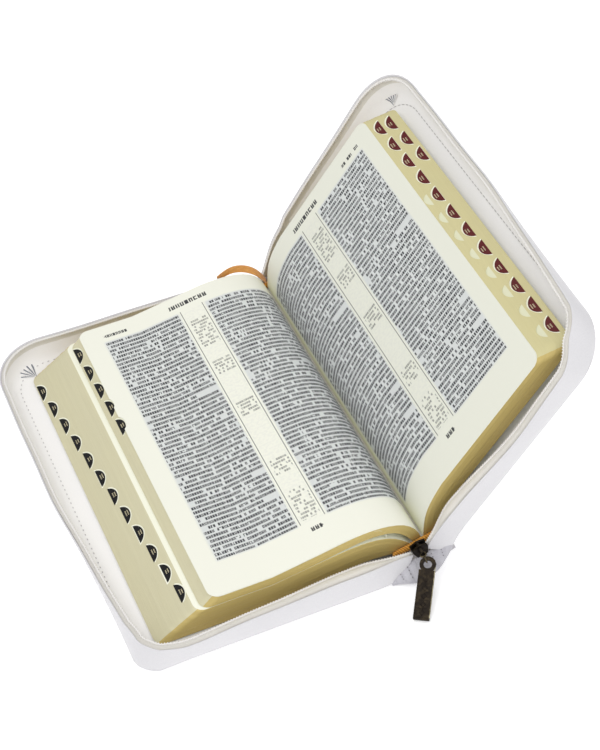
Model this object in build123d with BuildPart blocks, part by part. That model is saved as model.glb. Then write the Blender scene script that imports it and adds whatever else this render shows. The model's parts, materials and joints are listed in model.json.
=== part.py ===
from build123d import *
import math
import os

os.makedirs("parts", exist_ok=True)

# ---------------------------------------------------------------------------
# Zip-case bible, lying open: the front half is flat on the table and the back
# half stands up at a slant. Millimetres. +X runs across the book towards the
# back cover, +Y along the spine towards the head, +Z up. The book is drawn about
# a point on the table under its gutter, and every piece is then moved along X by
# TO_ORIGIN, so that the origin is the middle of the front cover's underside.
# ---------------------------------------------------------------------------

# page block
PAGE_H = 205.0
HALF_H = PAGE_H / 2
SPINE_W = 28.1            # width of the block's spine
FOOT_X, FOOT_Z = -16.4, 7.4   # front edge of the block's spine
SPINE_TILT = 15.6         # degrees, spine to table
BACK_TILT = 51.0          # degrees, back cover to table
CORNER_R = 5.5            # rounded page corners

# case
LEATHER_T = 0.7
BOARD_T = 0.8
LINING_T = 0.4
COVER_T = LEATHER_T + BOARD_T + LINING_T
CASE_HALF_H = 115.0       # half the length of a cover
COVER_R = 25.0            # rounded outer corners of a cover
FRONT_HINGE = (-18.5, 2.0)    # x, z of the fold beside the front board
FRONT_REACH = 136.5       # fold to the front cover's outer edge
BACK_FOOT = (10.4, 15.35)     # x, z on the outside of the back cover, at its foot
BACK_HINGE_S = 7.1        # back fold, measured up the cover from its foot
BACK_REACH = 133.0        # foot to the back cover's outer edge
FOLD_GAP = 5.0            # leather left free beside each fold

# rim wall with the zip on it
RIM_H = 12.5              # height over the outside of the cover
RIM_WALL = 0.8
PANEL_INSET = 0.2         # the flat of the cover ends inside the foot of the wall
TAPE_T = 0.5
COIL_W = 1.7
FRONT_FLARE = 5.0         # how far the wall leans out at its top
BACK_FLARE = 7.0
RIM_START = 24.0          # the wall starts this far from the fold
MARGIN_IN = 17.0          # width of the leather turn-in inside the wall

GAP = 0.3                 # clearance between soft bodies

front_panel_edge = FRONT_HINGE[0] - FOLD_GAP
front_outer_edge = FRONT_HINGE[0] - FRONT_REACH
TO_ORIGIN = -(front_panel_edge + front_outer_edge) / 2


def spine_plane():
    tilt = math.radians(SPINE_TILT)
    return Plane(
        origin=(FOOT_X, 0, FOOT_Z),
        x_dir=(math.cos(tilt), 0, math.sin(tilt)),
        z_dir=(0, -1, 0),
    )


def spine_point(u, y, w):
    """A point given across the spine (u), along it (y) and into the book (w)."""
    tilt = math.radians(SPINE_TILT)
    x = FOOT_X + u * math.cos(tilt) - w * math.sin(tilt)
    z = FOOT_Z + u * math.sin(tilt) + w * math.cos(tilt)
    return (x, y, z)


# Each cover has a frame of its own: s runs from the fold to the outer edge,
# n from the outside of the cover towards the pages.
BACK_DIR = Vector(math.cos(math.radians(BACK_TILT)), 0, math.sin(math.radians(BACK_TILT)))
BACK_UP = Vector(-BACK_DIR.Z, 0, BACK_DIR.X)
COVERS = {
    "front": {
        "origin": Vector(FRONT_HINGE[0], 0, 0),
        "along": Vector(-1, 0, 0),
        "up": Vector(0, 0, 1),
        "fold": 0.0,
        "reach": FRONT_REACH,
        "flare": FRONT_FLARE,
    },
    "back": {
        "origin": Vector(BACK_FOOT[0], 0, BACK_FOOT[1]),
        "along": BACK_DIR,
        "up": BACK_UP,
        "fold": BACK_HINGE_S,
        "reach": BACK_REACH,
        "flare": BACK_FLARE,
    },
}


def plan(cover, n):
    """The plane of a cover at height n over its outside."""
    return Plane(
        origin=cover["origin"] + cover["up"] * n,
        x_dir=cover["along"],
        z_dir=cover["up"],
    )


def section(cover):
    """The plane of a cover's cross-section: local x is s, local y is n."""
    side = cover["up"].cross(cover["along"])
    return Plane(origin=cover["origin"], x_dir=cover["along"], z_dir=side * -1)


def outline(cover, n, start, inset, radius):
    """A cover's outline on its plan, with the two outer corners rounded."""
    reach = cover["reach"] - inset
    half = CASE_HALF_H - inset
    with BuildSketch(plan(cover, n)) as shape:
        with Locations(((start + reach) / 2, 0)):
            Rectangle(reach - start, 2 * half)
        fillet(shape.vertices().sort_by(Axis.X)[-2:], radius)
    return shape.sketch


def wall(cover, low, high, inset, thickness):
    """The leaning wall round three sides of a cover, as one solid."""
    flare = cover["flare"]
    lean_low = flare * low / RIM_H
    lean_high = flare * high / RIM_H
    far_start = cover["fold"] - 40
    with BuildPart() as made:
        for skin, mode in ((0.0, Mode.ADD), (thickness, Mode.SUBTRACT)):
            edge = inset + skin
            base = outline(cover, low, far_start, edge - lean_low, COVER_R - edge + lean_low)
            top = outline(cover, high, far_start, edge - lean_high, COVER_R - edge + lean_high)
            loft(sections=[base, top], mode=mode)
        with BuildSketch(section(cover)):
            with Locations((far_start, (low + high) / 2)):
                Rectangle(2 * (cover["fold"] + RIM_START - far_start), 4 * RIM_H)
        extrude(amount=2 * CASE_HALF_H, both=True, mode=Mode.SUBTRACT)
    return made.part


def margin_ring(cover, low, thickness, outer_inset, width):
    """A flat strip round three sides of a cover."""
    start = cover["fold"] + FOLD_GAP + GAP
    with BuildPart() as made:
        add(outline(cover, low, start, outer_inset, COVER_R - outer_inset))
        extrude(amount=thickness)
        inner = outer_inset + width
        add(outline(cover, low, start - 1, inner, max(COVER_R - inner, 2.0)))
        extrude(amount=thickness, mode=Mode.SUBTRACT)
    return made.part


def panel(cover, low, thickness, start, inset, radius):
    with BuildPart() as made:
        add(outline(cover, low, start, inset, radius))
        extrude(amount=thickness)
    return made.part


def save(part, name):
    """Move a piece from the drawing's centre to the part's origin and write it."""
    placed = part.moved(Location((TO_ORIGIN, 0, 0)))
    placed.label = name
    export_step(placed, f"parts/{name}.step")


# ---------------------------------------------------------------------------
# the two covers: leather, board, lining, turn-in, thread, zip tape and coil
# ---------------------------------------------------------------------------
THREAD_INSET = 9.0        # outer edge to the line of stitching
THREAD_W = 0.5
THREAD_T = 0.1
TAPE_TOP = RIM_H + 1.5    # the tape stands a little over the leather
STOP_L = 3.0

for side, cover in COVERS.items():
    inner_edge = cover["fold"] + FOLD_GAP
    with BuildPart() as leather:
        add(panel(cover, 0, LEATHER_T, inner_edge, PANEL_INSET, COVER_R - PANEL_INSET))
        add(wall(cover, 0, RIM_H, 0, RIM_WALL))
    save(leather.part, f"{side}_cover_leather")
    board_start = inner_edge + 1.5
    save(panel(cover, LEATHER_T, BOARD_T, board_start, 3.0, COVER_R - 3), f"{side}_cover_board")
    lining_level = LEATHER_T + BOARD_T
    lining_inset = 2.6 + MARGIN_IN + 0.2
    save(panel(cover, lining_level, LINING_T, inner_edge + GAP, lining_inset, 6.0), f"{side}_lining")
    save(margin_ring(cover, lining_level, LINING_T, 2.6, MARGIN_IN), f"{side}_turn_in")
    save(margin_ring(cover, COVER_T, THREAD_T, THREAD_INSET, THREAD_W), f"{side}_stitching")
    save(wall(cover, COVER_T + 0.1, TAPE_TOP, RIM_WALL + 0.05, TAPE_T), f"{side}_zip_tape")
    save(wall(cover, TAPE_TOP, TAPE_TOP + COIL_W, RIM_WALL - 0.5, COIL_W), f"{side}_zip_coil")
    # a pressed metal stop closes over the tape where each row of the zip starts
    with BuildPart() as stop:
        start = cover["fold"] + RIM_START - STOP_L
        lean = cover["flare"] * (TAPE_TOP + COIL_W / 2) / RIM_H
        y_place = CASE_HALF_H + lean - COIL_W / 2
        with Locations(Location(plan(cover, TAPE_TOP + COIL_W / 2).location)):
            with Locations((start + STOP_L / 2 - GAP, y_place, 0), (start + STOP_L / 2 - GAP, -y_place, 0)):
                Box(STOP_L, 2.4, 2.4)
    save(stop.part, f"{side}_zip_stops")

# ---------------------------------------------------------------------------
# spine: mull, headbands, stiffener, leather, tape ends, fold leather
# ---------------------------------------------------------------------------
MULL_T = 0.6
STIFFENER_T = 1.0
HEADBAND_T = 1.7
HEADBAND_RISE = 2.2
HOLLOW = 1.6              # hollow back between the mull and the stiffener


def spine_slab(u0, u1, w0, w1, half_length):
    with BuildPart() as made:
        with BuildSketch(spine_plane()):
            with Locations(((u0 + u1) / 2, (w0 + w1) / 2)):
                Rectangle(u1 - u0, w1 - w0)
        extrude(amount=half_length, both=True)
    return made.part


stiffener_top = -MULL_T - HOLLOW
leather_top = stiffener_top - STIFFENER_T - 0.1
save(spine_slab(0, SPINE_W, -MULL_T, 0, HALF_H - 1), "block_spine_lining")
save(spine_slab(1, SPINE_W - 1, stiffener_top - STIFFENER_T, stiffener_top, HALF_H + 1.5), "spine_stiffener")
save(spine_slab(-1.5, SPINE_W + 1.4, leather_top - LEATHER_T, leather_top, CASE_HALF_H), "spine_leather")


def spine_end_piece(u0, u1, w0, w1, y0, y1):
    """A flat piece at one end of the spine, from y0 to y1."""
    with BuildPart() as made:
        with BuildSketch(spine_plane().offset(-y0)):
            with Locations(((u0 + u1) / 2, (w0 + w1) / 2)):
                Rectangle(u1 - u0, w1 - w0)
        extrude(amount=y0 - y1)
    return made.part


def headband(y_sign):
    """A woven band with a rounded top, glued across one end of the block's spine."""
    start = y_sign * (HALF_H + GAP)
    with BuildPart() as made:
        with BuildSketch(spine_plane().offset(-start)) as shape:
            with Locations((SPINE_W / 2, (HEADBAND_RISE - MULL_T) / 2)):
                Rectangle(SPINE_W, HEADBAND_RISE + MULL_T)
            fillet(shape.vertices().sort_by(Axis.Y)[-2:], 1.0)
        extrude(amount=-y_sign * HEADBAND_T)
    return made.part


save(headband(-1), "tail_headband")
save(headband(1), "head_headband")
tape_end_top = stiffener_top - 0.2
tape_end_y = HALF_H + 2.0
save(
    spine_end_piece(4, 24, tape_end_top - 0.8, tape_end_top, -tape_end_y, -CASE_HALF_H),
    "zip_tape_end_tail",
)
save(
    spine_end_piece(4, 24, tape_end_top - 0.8, tape_end_top, CASE_HALF_H, tape_end_y),
    "zip_tape_end_head",
)


def strip(points, thickness, half_length):
    """A thin sheet that follows a smooth curve through (x, z) points."""
    with BuildPart() as made:
        with BuildSketch(Plane.XZ):
            with BuildLine():
                first = Spline(*points)
                raised = [(x, z + thickness) for x, z in points]
                second = Spline(*raised)
                Line(first @ 0, second @ 0)
                Line(first @ 1, second @ 1)
            make_face()
        extrude(amount=half_length, both=True)
    return made.part


front_fold = [(front_panel_edge + GAP, 0.0), (front_panel_edge + 3.0, 0.6), (-17.4, 2.4)]
save(strip(front_fold, LEATHER_T, CASE_HALF_H), "fold_leather_front")

with BuildPart() as back_fold:
    with BuildSketch(Plane.XZ):
        with BuildLine():
            inner = Spline((13.4, 12.0), (15.6, 14.6), (16.3, 19.4), (17.2, 24.2))
            outer = Spline((17.8, 23.8), (17.0, 19.2), (16.3, 14.3), (13.6, 11.3))
            Line(inner @ 1, outer @ 0)
            Line(outer @ 1, inner @ 0)
        make_face()
    extrude(amount=CASE_HALF_H, both=True)
save(back_fold.part, "fold_leather_back")

# ---------------------------------------------------------------------------
# front leaves: a lower and an upper pile with an open gap between their roots
# ---------------------------------------------------------------------------
SLAB_X = -80.0            # the piles are straight beyond this line
LOWER_Z = (2.8, 17.3)
UPPER_Z = (17.6, 22.9)
FRONT_EDGE = {0.0: -141.9, 1.0: -111.8}   # fore-edge x at the bottom and the top leaf


def front_edge_x_at(z):
    """The fanned fore-edge: each leaf ends a little further in than the one below."""
    share = (z - LOWER_Z[0]) / (UPPER_Z[1] - LOWER_Z[0])
    return FRONT_EDGE[0.0] + share * (FRONT_EDGE[1.0] - FRONT_EDGE[0.0])


def front_pile(low, high):
    with BuildPart() as made:
        with BuildSketch(Plane.XZ):
            with BuildLine():
                Polyline(
                    (SLAB_X, low),
                    (front_edge_x_at(low), low),
                    (front_edge_x_at(high), high),
                    (SLAB_X, high),
                    close=True,
                )
            make_face()
        extrude(amount=HALF_H, both=True)
        fillet(made.faces().sort_by(Axis.X)[0].edges().filter_by(Axis.Y, reverse=True), CORNER_R)
    return made.part


# thumb index: a half-moon cut down to each labelled leaf, in steps along the edge
NOTCH_R = 7.2
NOTCH_OUT = 2.4           # a cut's centre lies this far outside the fore-edge
TAB_MARGIN = 0.4
TAB_T = 0.3
LOWER_TABS = 12
UPPER_TABS = 5
TAB_PITCH = 15.9


def step_places(count, first_y, pitch, first_level, last_level):
    """(y, level) of each index cut in a row."""
    rise = (last_level - first_level) / (count - 1)
    return [(first_y - k * pitch, first_level + k * rise) for k in range(count)]


lower_places = step_places(LOWER_TABS, HALF_H - 15.5, TAB_PITCH, LOWER_Z[0] + 1.2, LOWER_Z[1] - 1.4)
upper_places = step_places(UPPER_TABS, HALF_H - 14, TAB_PITCH, UPPER_Z[0] + 0.6, UPPER_Z[1] - 0.8)


def cut_front(pile, places):
    with BuildPart() as made:
        add(pile)
        for y, level in places:
            with BuildSketch(Plane.XY.offset(level)):
                with Locations((front_edge_x_at(level) - NOTCH_OUT, y)):
                    Circle(NOTCH_R)
            extrude(amount=6, mode=Mode.SUBTRACT)
    return made.part


def front_tabs(places):
    with BuildPart() as made:
        for y, level in places:
            edge = front_edge_x_at(level) + 0.6
            with BuildSketch(Plane.XY.offset(level)):
                with Locations((edge - 0.6 - NOTCH_OUT, y)):
                    Circle(NOTCH_R - TAB_MARGIN)
                with Locations((edge - NOTCH_R, y)):
                    Rectangle(2 * NOTCH_R, 2 * NOTCH_R, mode=Mode.SUBTRACT)
            extrude(amount=TAB_T)
    return made.part


save(cut_front(front_pile(*LOWER_Z), lower_places), "front_leaves_lower")
save(cut_front(front_pile(*UPPER_Z), upper_places), "front_leaves_upper")
save(front_tabs(lower_places), "front_index_tabs_lower")
save(front_tabs(upper_places), "front_index_tabs_upper")


def end_run(curve):
    """The direction of a curve's last stretch."""
    (x0, z0), (x1, z1) = curve[-2:]
    length = math.dist((x0, z0), (x1, z1))
    return ((x1 - x0) / length, (z1 - z0) / length)


def root(lower_curve, upper_curve, half_length, run=(1, 0)):
    """The curved part of a pile. Each curve starts along the pile's straight part and ends at the spine."""
    with BuildPart() as made:
        with BuildSketch(Plane.XZ):
            with BuildLine():
                low = Spline(*lower_curve, tangents=[run, end_run(lower_curve)])
                high = Spline(*upper_curve, tangents=[run, end_run(upper_curve)])
                Line(low @ 0, high @ 0)
                Line(low @ 1, high @ 1)
            make_face()
        extrude(amount=half_length, both=True)
    return made.part


ROOT_X = SLAB_X + GAP
lower_root = root(
    [(ROOT_X, LOWER_Z[0]), (-50, 6.8), (-26, 9.2), (-16.2, 8.0)],
    [(ROOT_X, LOWER_Z[1]), (-49, 22.0), (-30, 23.3), (-16.8, 20.2), (-6.0, 11.0)],
    HALF_H,
)
save(lower_root, "front_root_lower")
upper_top = [(ROOT_X, UPPER_Z[1]), (-49.2, 28.1), (-32.8, 30.6), (-16.3, 29.3), (-8.1, 25.6), (-1.7, 17.2), (-0.2, 12.8)]
upper_root = root(
    [(ROOT_X, UPPER_Z[0]), (-49, 22.6), (-25.4, 25.6), (-13, 22.2), (-6.4, 14.6), (-4.6, 11.6)],
    upper_top,
    HALF_H,
)
save(upper_root, "front_root_upper")

# the open left-hand leaf lies on the upper pile and can be turned
LEAF_T = 0.3
LEAF_EDGE = -112.4
leaf_root = [(x + 0.3, z + 0.4) for x, z in upper_top[1:-1]]
leaf_level = UPPER_Z[1] + GAP
with BuildPart() as leaf:
    with BuildSketch(Plane.XZ):
        with BuildLine():
            edges = []
            for lift in (0.0, LEAF_T):
                curve = [(SLAB_X, leaf_level + lift)] + [(x + lift / 2, z + lift) for x, z in leaf_root]
                flat = Line((LEAF_EDGE, leaf_level + lift), curve[0])
                rise = Spline(*curve, tangents=[(1, 0), end_run(curve)])
                edges.append((flat @ 0, rise @ 1))
            Line(edges[0][0], edges[1][0])
            Line(edges[0][1], edges[1][1])
        make_face()
    extrude(amount=HALF_H, both=True)
save(leaf.part, "turning_leaf")

FLY_T = 0.15
with BuildPart() as front_fly:
    with BuildSketch(Plane.XY.offset(LOWER_Z[0] - FLY_T)):
        with Locations(((SLAB_X + FRONT_EDGE[0.0]) / 2, 0)):
            Rectangle(SLAB_X - FRONT_EDGE[0.0], PAGE_H)
    extrude(amount=FLY_T)
save(front_fly.part, "front_flyleaf")

# ---------------------------------------------------------------------------
# back leaves: one pile that leans back on the raised cover
# ---------------------------------------------------------------------------
BACK_N = (7.3, 19.6)      # bottom and top of the pile over the cover's outside
BACK_S0 = 25.0            # the pile is straight from here outwards
BACK_EDGE = (120.7, 107.3)    # fore-edge s at the bottom and the top leaf
back = COVERS["back"]


def back_edge_at(n):
    share = (n - BACK_N[0]) / (BACK_N[1] - BACK_N[0])
    return BACK_EDGE[0] + share * (BACK_EDGE[1] - BACK_EDGE[0])


def back_tabs_row(places, cut_depth=0.0):
    """The labels of one row, or with a cut_depth the half-moons cut down to them."""
    cutter = cut_depth > 0
    with BuildPart() as made:
        for y, level in places:
            reach = back_edge_at(level) - 0.6
            with BuildSketch(plan(back, level)):
                with Locations((back_edge_at(level) + NOTCH_OUT, y)):
                    Circle(NOTCH_R if cutter else NOTCH_R - TAB_MARGIN)
                if not cutter:
                    with Locations((reach + NOTCH_R, y)):
                        Rectangle(2 * NOTCH_R, 2 * NOTCH_R, mode=Mode.SUBTRACT)
            extrude(amount=cut_depth or TAB_T)
    return made.part


BACK_TABS = 12
END_TABS = 3
FIRST_BLANK = 4           # plain cuts stand above the labels from this one on
row_places = step_places(BACK_TABS, HALF_H - 12, TAB_PITCH, BACK_N[1] - 4.5, BACK_N[0] + 1.6)
end_places = step_places(END_TABS, HALF_H - 12, TAB_PITCH, BACK_N[0] + 3.2, BACK_N[0] + 1.0)
blank_places = [(y - 2.5, level + 3.1) for y, level in row_places[FIRST_BLANK:]]

with BuildPart() as back_leaves:
    with BuildSketch(section(back)):
        with BuildLine():
            Polyline(
                (BACK_S0, BACK_N[0]),
                (BACK_EDGE[0], BACK_N[0]),
                (BACK_EDGE[1], BACK_N[1]),
                (BACK_S0, BACK_N[1]),
                close=True,
            )
        make_face()
    extrude(amount=HALF_H, both=True)
    fillet(
        back_leaves.faces().sort_by(Axis(back["origin"], back["along"]))[-1].edges().filter_by(Axis.Y, reverse=True),
        CORNER_R,
    )
    for places, cut_depth in ((row_places, 6.0), (end_places, 3.6), (blank_places, 6.0)):
        add(back_tabs_row(places, cut_depth), mode=Mode.SUBTRACT)
save(back_leaves.part, "back_leaves")
save(back_tabs_row(row_places), "back_index_tabs_row")
save(back_tabs_row(end_places), "back_index_tabs_end")

root_low = back["origin"] + BACK_DIR * (BACK_S0 - GAP) + BACK_UP * BACK_N[0]
root_high = back["origin"] + BACK_DIR * (BACK_S0 - GAP) + BACK_UP * BACK_N[1]
back_root = root(
    [(root_low.X, root_low.Z), (14.4, 30.2), (12.0, 22.2), (10.6, 15.8)],
    [(root_high.X, root_high.Z), (2.8, 30.1), (1.3, 20.1), (1.0, 13.2)],
    HALF_H,
    run=(-BACK_DIR.X, -BACK_DIR.Z),
)
save(back_root, "back_root")
with BuildPart() as back_fly:
    with BuildSketch(plan(back, BACK_N[0] - FLY_T)):
        with Locations(((BACK_S0 + BACK_EDGE[0]) / 2, 0)):
            Rectangle(BACK_EDGE[0] - BACK_S0, PAGE_H)
    extrude(amount=FLY_T)
save(back_fly.part, "back_flyleaf")

# ---------------------------------------------------------------------------
# zip slider, its bridge, the twisted connector link and the pull plate
# ---------------------------------------------------------------------------
SLIDER_U, SLIDER_W = 13.4, 2.1    # centre of the slider on the end of the spine
SLIDER_LEN = 8.6
SLIDER_WIDE = 8.4
PLATE_T = 1.0
SLIDER_BACK_Y = -(HALF_H + HEADBAND_T + 2.8)
TAPE_SLOT = 1.9
slider_front_y = SLIDER_BACK_Y - 2 * PLATE_T - TAPE_SLOT
BRIDGE_GAP = 1.8
BRIDGE_T = 1.2
BRIDGE_WIDE = 1.4
BRIDGE_LEN = 6.8


def slider_plate(near_y):
    """One of the two shield-shaped plates, PLATE_T thick, starting at near_y."""
    half = SLIDER_WIDE / 2
    nose = SLIDER_W + SLIDER_LEN / 2
    tail = SLIDER_W - SLIDER_LEN / 2
    with BuildPart() as made:
        with BuildSketch(spine_plane().offset(-near_y)) as shape:
            with BuildLine():
                Polyline(
                    (SLIDER_U - 0.62 * half, tail),
                    (SLIDER_U + 0.62 * half, tail),
                    (SLIDER_U + half, SLIDER_W + 1.0),
                    (SLIDER_U + half, nose - 1.2),
                    (SLIDER_U, nose),
                    (SLIDER_U - half, nose - 1.2),
                    (SLIDER_U - half, SLIDER_W + 1.0),
                    close=True,
                )
            make_face()
            fillet(shape.vertices(), 0.7)
        extrude(amount=PLATE_T)
    return made.part


with BuildPart() as slider:
    add(slider_plate(SLIDER_BACK_Y))
    add(slider_plate(slider_front_y + PLATE_T))
    # the wedge between the plates parts the two rows of the coil
    with BuildSketch(spine_plane().offset(-SLIDER_BACK_Y)) as wedge:
        with Locations((SLIDER_U, SLIDER_W + 2.0)):
            Ellipse(1.3, 2.0)
    extrude(amount=2 * PLATE_T + TAPE_SLOT)
save(slider.part, "slider_body")

with BuildPart() as bridge:
    with BuildSketch(Plane(origin=spine_point(SLIDER_U, 0, 0), x_dir=(0, -1, 0), z_dir=spine_plane().x_dir * -1)) as arch:
        bridge_mid_y = -slider_front_y + (BRIDGE_GAP + BRIDGE_T) / 2
        with Locations((bridge_mid_y, SLIDER_W)):
            Rectangle(BRIDGE_GAP + BRIDGE_T, BRIDGE_LEN)
        fillet(arch.vertices().sort_by(Axis.X)[-2:], 1.2)
        with Locations((bridge_mid_y - BRIDGE_T / 2, SLIDER_W)):
            Rectangle(BRIDGE_GAP, BRIDGE_LEN - 2.4, mode=Mode.SUBTRACT)
    extrude(amount=BRIDGE_WIDE / 2, both=True)
save(bridge.part, "slider_bridge")

RING_ONE_R = 1.4          # centre radii of the link's two rings, at the bridge and at the pull
RING_TWO_R = 1.75
LINK_WIRE = 0.42
RING_BITE = 0.15          # how far the two soldered rings run into each other
EYE_R, EYE_HOLE_R = 4.1, 2.1
PULL_T = 1.2
PULL_LEN = 28.6           # eye centre to the free end
PULL_WIDE = 8.2
PULL_DIR = Vector(-0.503, -0.779, -0.372).normalized()
LINK_DIR = Vector(-0.078, -0.997, -0.029).normalized()
across_spine = spine_plane().x_dir
pull_across = PULL_DIR.cross(Vector(0, 0, 1)).normalized()
pull_up = pull_across.cross(PULL_DIR).normalized()
wire_y = slider_front_y - BRIDGE_GAP / 2
wire = Vector(*spine_point(SLIDER_U, wire_y, SLIDER_W))
ring_one = wire + LINK_DIR * RING_ONE_R
ring_two = ring_one + LINK_DIR * (RING_ONE_R + RING_TWO_R - RING_BITE)
in_face = (LINK_DIR - pull_up * LINK_DIR.dot(pull_up)).normalized()
eye = ring_two + in_face * ((EYE_R + EYE_HOLE_R) / 2)

with BuildPart() as link:
    with Locations(Plane(origin=ring_one, z_dir=across_spine.cross(LINK_DIR))):
        Torus(RING_ONE_R, LINK_WIRE)
    with Locations(Plane(origin=ring_two, z_dir=pull_up.cross(LINK_DIR))):
        Torus(RING_TWO_R, LINK_WIRE)
save(link.part, "pull_link")

with BuildPart() as pull:
    with BuildSketch(Plane(origin=eye - pull_up * PULL_T / 2, x_dir=PULL_DIR, z_dir=pull_up)) as face:
        Circle(EYE_R)
        with Locations((PULL_LEN / 2 + 1.5, 0)):
            Rectangle(PULL_LEN - 3, PULL_WIDE)
        fillet(face.vertices().sort_by(Axis.X)[-2:], 0.6)
        Circle(EYE_HOLE_R, mode=Mode.SUBTRACT)
    extrude(amount=PULL_T)
save(pull.part, "pull_plate")

# ---------------------------------------------------------------------------
# ribbon marker: its loop over the head of the block, from the spine to the gap
# ---------------------------------------------------------------------------
RIBBON_R = 0.6
ribbon_route = [
    (0.9, 104.4, 15.8),
    (-1.6, 105.3, 20.6),
    (-7.0, 106.1, 26.3),
    (-14.0, 106.5, 30.0),
    (-21.5, 105.8, 31.0),
    (-28.0, 103.9, 29.6),
]
with BuildPart() as ribbon:
    with BuildLine() as path:
        runs = [math.dist(a, b) for a, b in zip(ribbon_route, ribbon_route[1:])]
        radii = []
        for before, at, after, run_in, run_out in zip(
            ribbon_route, ribbon_route[1:], ribbon_route[2:], runs, runs[1:]
        ):
            turn = (Vector(*at) - Vector(*before)).get_angle(Vector(*after) - Vector(*at))
            radii.append(0.45 * min(run_in, run_out) / math.tan(math.radians(turn / 2)))
        FilletPolyline(*ribbon_route, radius=radii)
    with BuildSketch(Plane(origin=path.wire() @ 0, z_dir=path.wire() % 0)):
        Circle(RIBBON_R)
    sweep()
save(ribbon.part, "ribbon_marker")
print("ribbon length", round(path.wire().length, 1), "arc radii", [round(r, 1) for r in radii])
back_hinge = back["origin"] + BACK_DIR * BACK_HINGE_S
shift = Vector(TO_ORIGIN, 0, 0)
print("shift", TO_ORIGIN, "back hinge", back_hinge + shift)
print("link axis at", wire + shift, "along", across_spine)
print("pull axis at", ring_two + shift, "along", pull_up.cross(LINK_DIR))
print("pull eye", eye, "direction", PULL_DIR, "face", pull_up)
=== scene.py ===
import json
import math
import random

import bmesh
import bpy
import numpy as np
from mathutils import Matrix, Vector


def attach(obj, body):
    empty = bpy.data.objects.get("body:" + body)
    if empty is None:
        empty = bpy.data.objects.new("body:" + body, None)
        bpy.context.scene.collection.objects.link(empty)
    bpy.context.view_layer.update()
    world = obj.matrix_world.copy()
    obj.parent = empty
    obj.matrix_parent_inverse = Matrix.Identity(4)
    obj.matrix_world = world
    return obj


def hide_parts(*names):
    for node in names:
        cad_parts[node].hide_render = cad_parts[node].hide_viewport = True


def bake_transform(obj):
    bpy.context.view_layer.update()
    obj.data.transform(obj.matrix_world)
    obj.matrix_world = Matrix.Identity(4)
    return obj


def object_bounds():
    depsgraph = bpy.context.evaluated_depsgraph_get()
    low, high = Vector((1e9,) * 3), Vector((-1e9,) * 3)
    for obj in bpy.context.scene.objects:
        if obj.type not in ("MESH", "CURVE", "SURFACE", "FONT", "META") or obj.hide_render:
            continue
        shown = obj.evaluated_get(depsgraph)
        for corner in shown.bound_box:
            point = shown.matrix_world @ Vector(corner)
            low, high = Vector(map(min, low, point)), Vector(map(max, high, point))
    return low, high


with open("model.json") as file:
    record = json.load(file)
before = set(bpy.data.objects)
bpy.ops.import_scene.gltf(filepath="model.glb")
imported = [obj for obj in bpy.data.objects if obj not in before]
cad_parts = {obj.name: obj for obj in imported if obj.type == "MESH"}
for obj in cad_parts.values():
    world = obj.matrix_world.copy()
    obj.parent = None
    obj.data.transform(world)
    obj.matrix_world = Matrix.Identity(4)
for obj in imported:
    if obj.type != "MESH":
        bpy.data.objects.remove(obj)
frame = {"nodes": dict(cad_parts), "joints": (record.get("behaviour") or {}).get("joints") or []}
cad_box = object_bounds()

# The book is laid out here in millimetres about a point under its gutter, as in
# the CAD: x across it, y up the spine. SHIFT_X carries that to the row frame.
joints = {j["name"]: j for j in frame["joints"]}
MM = 0.001
FRONT_FOLD_X = -18.5
SHIFT_X = joints["front_joint"]["pos_m"][0] / MM - FRONT_FOLD_X
PAGE_H = 205.0
HALF_H = PAGE_H / 2
CORNER_R = 5.5
CASE_HALF_H = 115.0
COVER_R = 25.0
SPINE_FOOT = (-16.4, 7.4)       # x, z of the front edge of the block's spine
SPINE_W = 28.1
SPINE_TILT = math.radians(15.6)
BACK_FOOT = (10.4, 15.35)       # x, z of the foot of the back cover
BACK_TILT = math.radians(51.0)


def at(x, y, z):
    return Vector(((x + SHIFT_X) * MM, y * MM, z * MM))


def back_xz(s, n):
    """x, z of a point s up the back cover from its foot and n inwards from its outside."""
    x = BACK_FOOT[0] + s * math.cos(BACK_TILT) - n * math.sin(BACK_TILT)
    z = BACK_FOOT[1] + s * math.sin(BACK_TILT) + n * math.cos(BACK_TILT)
    return x, z


def on_back(s, y, n):
    x, z = back_xz(s, n)
    return at(x, y, z)


def on_spine(u, y, w):
    x = SPINE_FOOT[0] + u * math.cos(SPINE_TILT) - w * math.sin(SPINE_TILT)
    z = SPINE_FOOT[1] + u * math.sin(SPINE_TILT) + w * math.cos(SPINE_TILT)
    return at(x, y, z)


# ---- camera, floor and light
CAMERA_AT = (-266.5, -669.2, 755.8)
CAMERA_RIGHT = (0.91956, -0.38985, -0.04917)
CAMERA_UP = (0.3081, 0.6378, 0.7059)
CAMERA_FORWARD = (0.24384, 0.66429, -0.70659)

camera_data = bpy.data.cameras.new("camera")
camera = bpy.data.objects.new("camera", camera_data)
bpy.context.scene.collection.objects.link(camera)
camera_data.sensor_width = 36.0
camera_data.lens = 92.86
camera_data.clip_start = 0.01
axes = Matrix((CAMERA_RIGHT, CAMERA_UP, [-c for c in CAMERA_FORWARD])).transposed()
camera.matrix_world = Matrix.Translation(at(*CAMERA_AT)) @ axes.to_4x4()
bpy.context.scene.camera = camera
bpy.context.scene.view_settings.view_transform = "Standard"


def area_light(name, place, target, size, power):
    data = bpy.data.lights.new(name, "AREA")
    data.shape = "DISK"
    data.size = size
    data.energy = power
    lamp = bpy.data.objects.new(name, data)
    bpy.context.scene.collection.objects.link(lamp)
    lamp.location = place
    lamp.rotation_euler = (Vector(target) - Vector(place)).to_track_quat("-Z", "Y").to_euler()


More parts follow.
